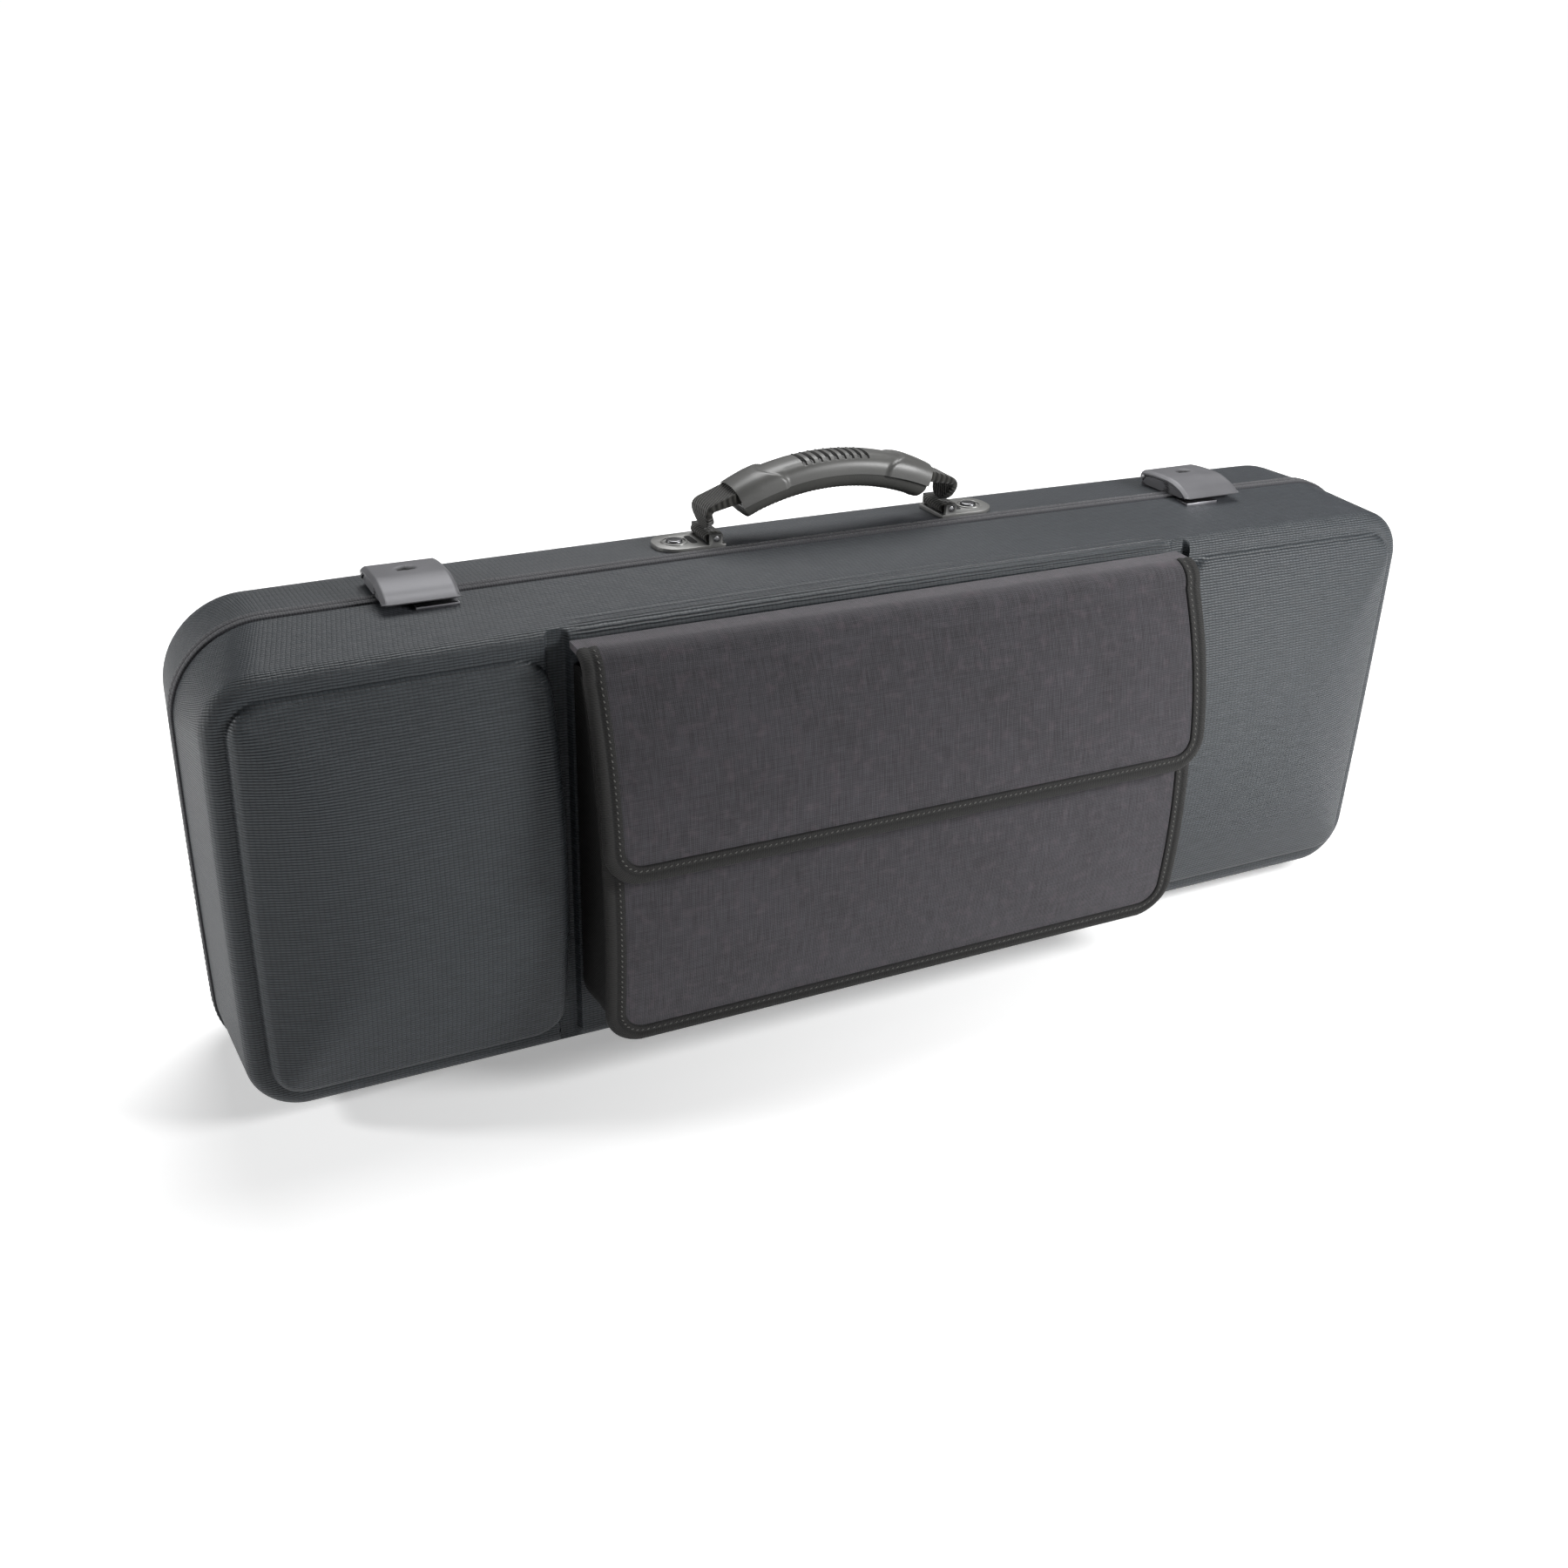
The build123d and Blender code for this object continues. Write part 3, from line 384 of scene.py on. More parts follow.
# Gathers grids of points into one closed mesh, with a cloth map in metres
class Skin:
    def __init__(self):
        self.points = []
        self.faces = []
        self.corners = []
        self.marks = []

    # Rows of points, row by row; a ring repeats its first point at the end of each row
    def grid(self, points, cloth, mark=None):
        points = np.asarray(points, float)
        flat = np.asarray(cloth, float).reshape(-1, 2)
        rows, columns = points.shape[:2]
        start = len(self.points)
        self.points.extend(points.reshape(-1, 3).tolist())
        self.marks.extend(np.zeros(rows * columns) if mark is None else np.ravel(mark))
        for row in range(rows - 1):
            for here in range(row * columns, (row + 1) * columns - 1):
                loop = [here, here + 1, here + columns + 1, here + columns]
                self.faces.append([start + i for i in loop])
                self.corners.extend(flat[i] for i in loop)

    # Two facing grids joined round their borders
    def slab(self, near, far, cloth, mark=None, rim=0.0):
        near, far, cloth = (np.asarray(points, float) for points in (near, far, cloth))
        self.grid(near, cloth, mark)
        self.grid(far, cloth)
        for pick in ((0, ...), (-1, ...), (slice(None), 0), (slice(None), -1)):
            self.grid([near[pick], far[pick]], [cloth[pick], cloth[pick] + rim])

    # One flat face over a ring of points
    def cap(self, ring, mark=0.0):
        start = len(self.points)
        self.points.extend(np.asarray(ring, float).tolist())
        self.marks.extend([mark] * len(ring))
        self.faces.append(list(range(start, start + len(ring))))
        self.corners.extend((p[0], p[2]) for p in ring)

    def piece(self, name, finish, sharp=40):
        mesh = bpy.data.meshes.new(name)
        mesh.from_pydata(self.points, [], self.faces)
        layer = mesh.uv_layers.new(name="cloth")
        layer.data.foreach_set("uv", np.asarray(self.corners, np.float32).ravel())
        pleatAndShade = mesh.attributes.new("pleatAndShade", "FLOAT", "POINT")
        pleatAndShade.data.foreach_set("value", np.asarray(self.marks, np.float32))
        work = bmesh.new()
        work.from_mesh(mesh)
        bmesh.ops.remove_doubles(work, verts=work.verts, dist=1e-6)
        bmesh.ops.dissolve_degenerate(work, edges=work.edges, dist=1e-7)
        bmesh.ops.recalc_face_normals(work, faces=work.faces)
        work.to_mesh(mesh)
        work.free()
        return shown(name, mesh, finish, sharp)


def linked(name, data):
    piece = bpy.data.objects.new(name, data)
    bpy.context.scene.collection.objects.link(piece)
    return piece


def shown(name, mesh, finish, sharp=40):
    mesh.polygons.foreach_set("use_smooth", [True] * len(mesh.polygons))
    mesh.set_sharp_from_angle(angle=math.radians(sharp))
    mesh.materials.clear()
    mesh.materials.append(finishes[finish])
    return linked(name, mesh)


# Ends a piece's own modifiers and keeps the result as its mesh
def settled(piece):
    held = bpy.context.evaluated_depsgraph_get()
    mesh = bpy.data.meshes.new_from_object(piece.evaluated_get(held))
    piece.modifiers.clear()
    piece.data = mesh
    return piece


def joined(name, pieces, finish, sharp=40):
    work = bmesh.new()
    for piece in pieces:
        work.from_mesh(piece.data)
        bpy.data.objects.remove(piece)
    mesh = bpy.data.meshes.new(name)
    work.to_mesh(mesh)
    work.free()
    return shown(name, mesh, finish, sharp)


# Hides the nodes that a piece stands for and hangs it on the body that it rides; the material slot is not
# used
def placed(piece, body, slot, *nodes):
    if nodes:
        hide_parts(*nodes)
    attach(piece, body)
    return piece


# Spacing that is fine near the given places and coarse elsewhere
def spaced(low, high, coarse, fine, places, reach):
    steps = [low]
    while steps[-1] < high:
        near = min((abs(steps[-1] - p) for p in places), default=1.0)
        share = min(1.0, max(0.0, (near - reach) / (3 * reach)))
        steps.append(steps[-1] + fine + (coarse - fine) * share)
    steps = np.array(steps)
    return low + (steps - low) * (high - low) / (steps[-1] - low)


def mirrored(*places):
    return [side * place for side in (-1, 1) for place in places]


# A ring of points with its first point again at the end
def looped(ring):
    return np.concatenate([ring, ring[:1]])


def travelled(line):
    return np.concatenate([[0], np.cumsum(np.linalg.norm(np.diff(line, axis=0), axis=1))])


# Unit vectors square to the slope at each point
def squareTo(slope):
    out = np.stack([-slope[:, 1], slope[:, 0]], 1)
    return out / np.linalg.norm(out, axis=1)[:, None]


def lineOut(line):
    return squareTo(np.gradient(line, travelled(line), axis=0))


def loopOut(loop):
    return squareTo(np.roll(loop, 1, 0) - np.roll(loop, -1, 0))


# Points of a flat outline, x and z, at one y
def standing(flat, y):
    return np.stack([flat[:, 0], np.zeros(len(flat)) + y, flat[:, 1]], 1)


# Points round a rectangle, back to the first, from the places across and up it
def rectangle(xs, zs):
    border = [(x, zs[0]) for x in xs] + [(xs[-1], z) for z in zs[1:]]
    border += [(x, zs[-1]) for x in xs[-2::-1]] + [(xs[0], z) for z in zs[-2::-1]]
    return np.array(border)


# Moves points of one rounded rectangle onto another; each is half its width, half its height and its corner
def ringed(x, z, source, target):
    a0, b0, r0 = source
    a, b, r = target
    straightX = np.minimum(np.abs(x), a0 - r0) * (a - r) / (a0 - r0)
    straightZ = np.minimum(np.abs(z), b0 - r0) * (b - r) / (b0 - r0)
    p = np.clip((np.abs(x) - (a0 - r0)) / r0, 0, 1)
    q = np.clip((np.abs(z) - (b0 - r0)) / r0, 0, 1)
    outX = straightX + r * p * np.sqrt(1 - q * q / 2)
    outZ = straightZ + r * q * np.sqrt(1 - p * p / 2)
    return np.sign(x) * outX, np.sign(z) * outZ


# The slight outward bow of the long sides and the ends
def crowned(x, z):
    lift = case["topCrown"] * (1 - (x / halfLength) ** 2) * np.clip(z / halfHeight, 0, 1) ** 3
    out = case["endCrown"] * (1 - (z / halfHeight) ** 2) * np.clip(np.abs(x) / halfLength, 0, 1) ** 3
    return x + out * np.sign(x), z + lift


# The rings of a drafted wall with a rounded far edge: inset, depth from the seam and corner radius
def wallRings(start, depth, draft, edge, inset, corner, farCorner, steps):
    tilt = math.atan(draft / depth)
    bend = inset + draft * (depth - edge) / depth + edge / math.cos(tilt)
    rings = []
    for share in np.linspace(0, 1, 7):
        here = start + (depth - edge * (1 - math.sin(tilt)) - start) * share
        rings.append((inset + draft * here / depth, here, corner + (farCorner - corner) * share))
    first = rings[-1][0]
    for angle in np.linspace(tilt, math.pi / 2, steps)[1:]:
        here = bend - edge * math.cos(angle)
        rings.append((here, depth - edge + edge * math.sin(angle), farCorner - (here - first)))
    return rings


def flatAt(depth):
    return lambda x, z: np.full(np.shape(x), depth)


def unpleated(x, z, depth):
    return np.zeros(np.shape(x))


def uncut(x, z, depth):
    return depth


# One half of the case as a closed shell. surface(x, z) gives the far face's depth
def halfShell(name, side, outer, inner, columns, rows, surface, finish, pleats=unpleated, cut=uncut):
    def target(ring):
        return halfLength - ring[0], halfHeight - ring[0], ring[2]

    def laid(x, z, depth):
        x, z = crowned(x, z)
        return np.stack([x, seamY + side * depth, middleZ + z], -1)

    base = target(outer[-1])
    xs, zs = columns(base[0]), rows(base[1])
    border = rectangle(xs, zs).T
    flat = np.stack(ringed(*border, base, base), 1)
    outward = looped(loopOut(flat[:-1]))
    walls = [(*ringed(*border, base, target(ring)), np.full(len(flat), ring[1])) for ring in outer]
    linings = [(*ringed(*border, base, target(ring)), np.full(len(flat), ring[1])) for ring in inner]
    points = [laid(x, z, cut(x, z, depth)) for x, z, depth in walls]
    inside = [laid(*lining) for lining in linings]
    lengths = travelled([ring[:2] for ring in outer[::-1]])[::-1]
    cloth = [flat + outward * length for length in lengths]
    skin = Skin()
    skin.grid(points, cloth, [pleats(*wall) for wall in walls])
    x, z = ringed(*np.meshgrid(xs, zs), base, base)
    depth = cut(x, z, surface(x, z))
    skin.grid(laid(x, z, depth), np.stack([x, z], -1), pleats(x, z, depth))
    skin.grid([points[0], inside[0]], [cloth[0], cloth[0] + outward * 4 * mm])
    skin.grid(inside, [flat + outward * (0.01 * index) for index in range(len(inside))])
    skin.cap(inside[-1][:-1])
    return skin.piece(name, finish, 50)


def smoothMax(a, b, k):
    h = np.clip(0.5 + 0.5 * (a - b) / k, 0, 1)
    return b + (a - b) * h + k * h * (1 - h)


# Moulded panels on the lid, each side of the pocket, and the channels between them
lidFace = {
    "depth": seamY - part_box("lid_shell")[0].y - 24 * mm,
    "draft": 7 * mm,
    "edge": 9 * mm,
    "frontCorner": 32 * mm,
    "wall": 4 * mm,
    "frontWall": 7 * mm,
    "panelOuter": 376.5 * mm,
    "panelInner": 209 * mm,
    "panelLow": 19 * mm,
    "panelHigh": 256 * mm,
    "panelCorner": 20 * mm,
    "rimDepth": 71.2 * mm,
    "crownDepth": 91.5 * mm,
    "run": 92 * mm,
    "topFall": 3 * mm,
    "topRun": 70 * mm,
    "rimRound": 5.5 * mm,
    "channelCentre": 203.8 * mm,
    "channelWidth": 12 * mm,
    "channelFloor": 61.5 * mm,
    "channelTop": 268.5 * mm,
    "channelEase": 2.4 * mm,
    "rootEase": 1.6 * mm,
    "crestEase": 3 * mm,
    "pleatFrom": 52 * mm,
    "pleatHalf": 196 * mm,
    "pleatDrop": 17 * mm,
    "coarseStep": 5 * mm,
    "fineStep": 0.9 * mm,
    "fineReach": 6 * mm,
    "cornerEdge": 8 * mm,
}


# How deep the panels stand out: an arc over their height, an arc down at their ends and a rounded rim
def lidPanelDepth(x, z):
    v = lidFace
    across, z = np.abs(x), z + halfHeight
    centre, half = (v["panelLow"] + v["panelHigh"]) / 2, (v["panelHigh"] - v["panelLow"]) / 2
    middle, reach = (v["panelOuter"] + v["panelInner"]) / 2, (v["panelOuter"] - v["panelInner"]) / 2
    rise = v["crownDepth"] - v["rimDepth"]

    def arc(run, past):
        radius = (run**2 + rise**2) / (2 * rise)
        return v["crownDepth"] - radius + np.sqrt(radius**2 - past**2)

    overHeight = arc(half, np.clip(z - centre, -half, half))
    overEnd = arc(v["run"], np.clip(across - (v["panelOuter"] - v["run"]), 0, v["run"]))
    down = np.clip((z - (v["panelHigh"] - v["topRun"])) / v["topRun"], 0, 1)
    crown = -smoothMax(v["topFall"] * down**1.6 - overHeight, -overEnd, v["crestEase"])
    corner, bend = v["panelCorner"], v["rimRound"]
    dx = np.abs(across - middle) - (reach - corner)
    dz = np.abs(z - centre) - (half - corner)
    within = corner - np.hypot(np.maximum(dx, 0), np.maximum(dz, 0)) - np.minimum(np.maximum(dx, dz), 0)
    inside = np.clip(within, 0, bend)
    shoulder = crown - bend + np.sqrt(np.maximum(bend**2 - (bend - inside) ** 2, 0))
    return np.where(within > 0, shoulder, crown - bend + within * 9)


# 1 in the middle of a channel and 0 outside it
def lidChannel(x, z):
    v = lidFace
    top = v["channelTop"] - halfHeight - v["channelWidth"] / 2
    dx = np.abs(np.abs(x) - v["channelCentre"])
    away = np.where(z > top, np.hypot(dx, z - top), dx)
    slot = np.clip((v["channelWidth"] / 2 - away) / v["channelEase"] + 0.5, 0, 1)
    return slot * slot * (3 - 2 * slot)


def lidSurface(x, z):
    v = lidFace
    plate = v["depth"] - (v["depth"] - v["channelFloor"]) * lidChannel(x, z)
    return smoothMax(plate, lidPanelDepth(x, z), v["rootEase"])


# The channels run on round the lid's top and bottom edges
def lidCut(x, z, depth):
    floor = np.minimum(depth, lidFace["channelFloor"])
    panel = lidPanelDepth(x, z) > lidFace["depth"]
    return np.where(panel, depth, depth + (floor - depth) * lidChannel(x, z))


# 1 where the cloth is gathered, along the top edge above the pocket
def lidPleats(x, z, depth):
    v = lidFace
    across = np.clip((v["pleatHalf"] - np.abs(x)) / (8 * mm), 0, 1)
    over = np.clip((z - (halfHeight - v["pleatDrop"])) / (3 * mm), 0, 1)
    return across * over * np.clip((depth - v["pleatFrom"]) / (4 * mm), 0, 1)


# Steps that are fine at the given places and near the corners
def lidSteps(reach, places):
    v = lidFace
    places = places + mirrored(reach - v["cornerEdge"])
    return spaced(-reach, reach, v["coarseStep"], v["fineStep"], places, v["fineReach"])


def lidColumns(reach):
    v = lidFace
    panel = v["panelOuter"] - 1 * mm, v["panelInner"] + 1 * mm
    channel = v["channelCentre"] - v["channelWidth"] / 2, (v["panelInner"] + v["channelCentre"]) / 2
    return lidSteps(reach, mirrored(*panel, *channel))


def lidRows(reach):
    v = lidFace
    return lidSteps(reach, [v["panelLow"] - halfHeight + 1 * mm, v["panelHigh"] - halfHeight - 1 * mm])


# Even steps, closer together near the corners
def evenly(step, corner=26 * mm, fine=2.2 * mm):
    def steps(reach):
        flat = np.linspace(corner - reach, reach - corner, int(2 * (reach - corner) / step) + 1)
        bend = np.linspace(reach - corner, reach, int(corner / fine) + 1)[1:]
        return np.concatenate([-bend[::-1], flat, bend])

    return steps


def lidShell():
    v = lidFace
    start, corner, wall = case["rimWidth"], case["cornerRadius"], v["wall"]
    far = v["frontCorner"]
    outer = wallRings(start, v["depth"], v["draft"], v["edge"], 0, corner, far, 12)
    room = v["depth"] - v["frontWall"]
    inner = wallRings(start, room, v["draft"], v["edge"] - wall, wall, corner - wall, far - wall, 4)
    steps = lidColumns, lidRows
    shell = halfShell("lidShell", -1, outer, inner, *steps, lidSurface, "shellCloth", lidPleats, lidCut)
    placed(shell, "lid", "shell_cloth", "lid_shell")


baseBack = {"depth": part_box("base_shell")[1].y - seamY, "draft": 3 * mm, "edge": 27 * mm, "wall": 4 * mm}


def baseShell():
    v = baseBack
    start, corner, wall = case["rimWidth"], case["cornerRadius"], v["wall"]
    far = corner - v["draft"]
    outer = wallRings(start, v["depth"], v["draft"], v["edge"], 0, corner, far, 16)
    room = v["depth"] - wall
    inner = wallRings(start, room, v["draft"], v["edge"] - wall, wall, corner - wall, far - wall, 6)
    steps = evenly(9 * mm), evenly(9 * mm)
    shell = halfShell("baseShell", 1, outer, inner, *steps, flatAt(v["depth"]), "shellCloth")
    placed(shell, "base", "shell_cloth", "base_shell")


lidShell()
baseShell()
print("shells made")


# The case's outline at the seam, x and z, with the outward direction at each point
def caseOutline(step):
    shape = (halfLength, halfHeight, case["cornerRadius"])
    xs, zs = (np.linspace(-reach, reach, int(2 * reach / step) + 1) for reach in shape[:2])
    loop = np.stack(crowned(*ringed(*rectangle(xs, zs)[:-1].T, shape, shape)), 1)
    return loop + (0, middleZ), loopOut(loop)


outline, outlineOut = caseOutline(4 * mm)


# The edge trim of each half: a soft welt outside, a flat closing face and a square inner edge
def seamTrim(name, side, body, node):
    width, gap, inside = case["rimWidth"], case["seamGap"] / 2, -case["rimInside"]
    middle, half = (width + gap) / 2, (width - gap) / 2
    profile = [(inside, width), (-0.4 * mm, width)]
    for angle in np.linspace(0.1, math.pi - 0.35, 9):
        welt = case["overhang"] * math.sin(angle) ** 0.6 - 0.05 * mm
        profile.append((welt, middle + half * math.cos(angle)))
    profile += [(-0.9 * mm, gap), (inside + 1 * mm, gap), (inside, gap + 1 * mm), profile[0]]
    loop, outward = looped(outline), looped(outlineOut)
    skin = Skin()
    cloth = np.stack(np.meshgrid(travelled(loop), travelled(profile)), -1)
    skin.grid([standing(loop + outward * out, seamY + side * depth) for out, depth in profile], cloth)
    placed(skin.piece(name, "seamTape", 45), body, "rim_trim", node)


seamTrim("baseSeamTrim", 1, "base", "base_rim")
seamTrim("lidSeamTrim", -1, "lid", "lid_rim")

stitchInputs = {"Pitch": 3.2 * mm, "Length": 2.2 * mm, "Width": 0.7 * mm, "Height": 0.4 * mm, "Slant": 0.0}


# A node tree that lays a small shape along a line, facing out from the surface
def stitchTree(name, finish):
    tree = bpy.data.node_groups.new(name, "GeometryNodeTree")
    face = tree.interface
    face.new_socket("Geometry", in_out="INPUT", socket_type="NodeSocketGeometry")
    for label, value in stitchInputs.items():
        face.new_socket(label, in_out="INPUT", socket_type="NodeSocketFloat").default_value = value
    face.new_socket("Geometry", in_out="OUTPUT", socket_type="NodeSocketGeometry")

    # Adds a node and gives the link or value of each named socket
    def add(kind, output, settings=None, **links):
        made = tree.nodes.new(kind)
        for key, value in (settings or {}).items():
            setattr(made, key, value)
        for key, value in links.items():
            target = made.inputs[key.replace("_", " ")]
            if isinstance(value, bpy.types.NodeSocket):
                tree.links.new(value, target)
            else:
                target.default_value = value
        return made.outputs[output] if output else made

    given = add("NodeGroupInput", None).outputs
    line = add("GeometryNodeMeshToCurve", "Curve", Mesh=given["Geometry"])
    byLength = {"mode": "LENGTH"}
    spread = add("GeometryNodeResampleCurve", "Curve", byLength, Curve=line, Length=given["Pitch"])
    tangent = add("GeometryNodeInputTangent", "Tangent")
    ofVectors = {"data_type": "FLOAT_VECTOR"}
    facing = add("GeometryNodeInputNamedAttribute", "Attribute", ofVectors, Name="facing")
    axes = {"primary_axis": "Z", "secondary_axis": "X"}
    turned = add("FunctionNodeAxesToRotation", "Rotation", axes, Primary_Axis=facing, Secondary_Axis=tangent)
    bead = add("GeometryNodeMeshUVSphere", "Mesh", Segments=6, Rings=4, Radius=0.5)
    size = add("ShaderNodeCombineXYZ", "Vector", X=given["Length"], Y=given["Width"], Z=given["Height"])
    tilt = add("ShaderNodeCombineXYZ", "Vector", Z=given["Slant"])
    shaped = add("GeometryNodeTransform", "Geometry", Geometry=bead, Scale=size)
    slanted = add("GeometryNodeTransform", "Geometry", Geometry=shaped, Rotation=tilt)
    links = {"Points": spread, "Instance": slanted, "Rotation": turned}
    laid = add("GeometryNodeInstanceOnPoints", "Instances", **links)
    real = add("GeometryNodeRealizeInstances", "Geometry", Geometry=laid)
    smooth = add("GeometryNodeSetShadeSmooth", "Geometry", Geometry=real)
    painted = add("GeometryNodeSetMaterial", "Geometry", Geometry=smooth, Material=finishes[finish])
    add("NodeGroupOutput", None, Geometry=painted)
    return tree


stitchTrees = {
    "stitchThread": stitchTree("pocketStitches", "stitchThread"),
    "seamThread": stitchTree("seamStitches", "seamThread"),
    "slotRubber": stitchTree("gripInlays", "slotRubber"),
}


# Stitches along a line of points with the surface's outward direction at each
def stitches(name, line, facing, kind, body, sizes, slot, closed=False):
    count = len(line)
    edges = [(i, (i + 1) % count) for i in range(count if closed else count - 1)]
    mesh = bpy.data.meshes.new(name)
    mesh.from_pydata(line.tolist(), edges, [])
    held = mesh.attributes.new("facing", "FLOAT_VECTOR", "POINT")
    held.data.foreach_set("vector", np.asarray(facing, np.float32).ravel())
    piece = linked(name, mesh)
    modifier = piece.modifiers.new("stitches", "NODES")
    modifier.node_group = stitchTrees[kind]
    for item in modifier.node_group.interface.items_tree:
        if item.name in sizes:
            modifier[item.identifier] = sizes[item.name]
    placed(settled(piece), body, slot)


seamStitchSizes = {"Pitch": 3.6 * mm, "Length": 2.6 * mm, "Width": 0.7 * mm, "Height": 0.45 * mm}


def seamStitches(name, side, body):
    flat = outline + outlineOut * (case["overhang"] - 0.06 * mm)
    line = standing(flat, seamY + side * (case["rimWidth"] - 2.2 * mm))
    facing = standing(outlineOut, 0)
    stitches(name, line, facing, "seamThread", body, seamStitchSizes, "rim_trim", closed=True)


seamStitches("baseSeamStitches", 1, "base")
seamStitches("lidSeamStitches", -1, "lid")
print("seam made")


# A line through three points as an arc, in equal steps
def arcLine(first, middle, last, steps):
    (ax, ay), (bx, by), (cx, cy) = first, middle, last
    a, b, c = (x * x + y * y for x, y in (first, middle, last))
    d = 2 * (ax * (by - cy) + bx * (cy - ay) + cx * (ay - by))
    ux = (a * (by - cy) + b * (cy - ay) + c * (ay - by)) / d
    uy = (a * (cx - bx) + b * (ax - cx) + c * (bx - ax)) / d
    radius = math.hypot(ax - ux, ay - uy)
    start, _, end = np.unwrap([math.atan2(y - uy, x - ux) for x, y in (first, middle, last)])
    return [(ux + radius * math.cos(t), uy + radius * math.sin(t)) for t in np.linspace(start, end, steps)]


# A bent panel: a profile in y and z that runs from the lower edge up, and a width across it
class BentPanel:
    def __init__(self, values, profile):
        self.v = values
        self.line = np.array(profile)
        self.run = travelled(self.line)
        self.length = self.run[-1]
        self.out = lineOut(self.line)

    def along(self, s, values):
        return [np.interp(s, self.run, values[:, i]) for i in (0, 1)]

    # Places across and up the panel, moved out from its face
    def at(self, x, s, proud):
        x, s, proud = np.broadcast_arrays(*(np.asarray(given, float) for given in (x, s, proud)))
        y, z = self.along(s, self.line)
        outY, outZ = self.along(s, self.out)
        return np.stack([x, y + outY * proud, z + outZ * proud], -1)

    # The padding's crown: fullest between the edges, with a shallow dip before the binding
    def crown(self, x, s):
        v = self.v
        edge = np.minimum(v["half"] - np.abs(x), np.minimum(s, self.length - s + v["openEdge"]))
        rise = 1 - np.exp(-np.maximum(edge - v["bindingWidth"] * 0.6, 0) / v["crownReach"])
        ripple = np.sin(x * 31 + s * 17) * np.sin(s * 43 - x * 9)
        return rise * (v["crown"] + v["ripple"] * ripple)

    # x and s on the panel, rounded at its two lower corners
    def rounded(self, x, s):
        r, flat = self.v["corner"], self.v["half"] - self.v["corner"]
        p = np.clip((np.abs(x) - flat) / r, 0, 1)
        q = np.clip((r - s) / r, 0, 1)
        outX = np.minimum(np.abs(x), flat) + r * p * np.sqrt(1 - q * q / 2)
        return np.sign(x) * outX, np.maximum(s, r) - r * q * np.sqrt(1 - p * p / 2)

    def piece(self, name, finish):
        v = self.v
        xs = spaced(-v["half"], v["half"], 6 * mm, 1.6 * mm, mirrored(v["half"]), 10 * mm)
        ss = spaced(0, self.length, 4.5 * mm, 1.6 * mm, [0, *v["fineAt"]], 9 * mm)
        x, s = self.rounded(*np.meshgrid(xs, ss))
        skin = Skin()
        front, back = self.at(x, s, self.crown(x, s)), self.at(x, s, -v["thickness"])
        skin.slab(front, back, np.stack([x, s], -1), rim=v["thickness"])
        return skin.piece(name, finish, 50)

    # The edge line at one inset: up to a height on each side and round the two lower corners
    def edge(self, inset, top):
        half, r = self.v["half"] - inset, max(self.v["corner"] - inset, 0.5 * mm)
        side = np.linspace(top, inset + r, int(top / (3 * mm)))
        turn = np.linspace(0, math.pi / 2, 12)[1:]
        across = np.linspace(-half + r, half - r, int(2 * self.v["half"] / (4 * mm)))[1:-1]
        upright, low = np.full(len(side), half), np.full(len(across), inset)
        x = [-upright, -half + r - r * np.cos(turn), across, half - r + r * np.sin(turn), upright]
        s = [side, inset + r - r * np.sin(turn), low, inset + r - r * np.cos(turn), side[::-1]]
        return np.concatenate(x), np.concatenate(s)

    # Tape folded over the edge: its inner border on the front, round the edge and onto the back
    def binding(self, name, top):
        wide, proud, thick = self.v["bindingWidth"], self.v["bindingProud"], self.v["thickness"]
        section = [(wide, 0.1 * mm), (wide - 0.5 * mm, proud * 0.75)]
        shares = [(0.88, 1), (0.7, 1), (0.58, 0.8), (0.5, 0.5), (0.42, 0.8), (0.33, 1.15)]
        section += [(wide * inset, proud * out) for inset, out in shares]
        reach = 1.6 * mm
        for angle in np.linspace(0.35, math.pi - 0.35, 7):
            out = -thick / 2 + (thick / 2 + proud) * math.cos(angle)
            section.append((reach - (reach + proud) * math.sin(angle), out))
        section += [(wide * 0.6, -thick - proud * 0.6), (wide, -thick - 0.1 * mm), section[0]]
        along = travelled(np.stack(self.edge(0, top), 1))
        rows, marks = [], []
        for inset, out in section:
            x, s = self.edge(inset, top)
            rows.append(self.at(x, s, out + (self.crown(x, s) if out > 0 else 0.0)))
            # Painted shade: near black at the tape's borders where it meets the cloth, and darker along the
            # stitch groove
            share = inset / wide
            grooveShade = max(0.0, 1 - abs(share - 0.5) / 0.13) * 0.7
            marks.append(np.full(len(x), 1.0 if share > 0.93 else grooveShade))
        skin = Skin()
        skin.grid(rows, np.stack(np.meshgrid(along, travelled(section)), -1), marks)
        for end in (0, -1):
            skin.cap([row[end] for row in rows[:-1]])
        return skin.piece(name, "bindingTape", 60)


# Front of the pocket: a padded panel bound in tape
pocket = {
    "half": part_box("pocket_front")[1].x,
    "low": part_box("pocket_front")[0].z,
    "top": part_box("pocket_front")[1].z,
    "topDepth": 84.6 * mm,
    "midDepth": 110.6 * mm,
    "lowDepth": 106.6 * mm,
    "corner": 24 * mm,
    "thickness": 3.6 * mm,
    "bindingWidth": 10.5 * mm,
    "bindingProud": 1.1 * mm,
    "crown": 0.9 * mm,
    "crownReach": 14 * mm,
    "ripple": 0.12 * mm,
    "openEdge": 60 * mm,
    "fineAt": [],
}

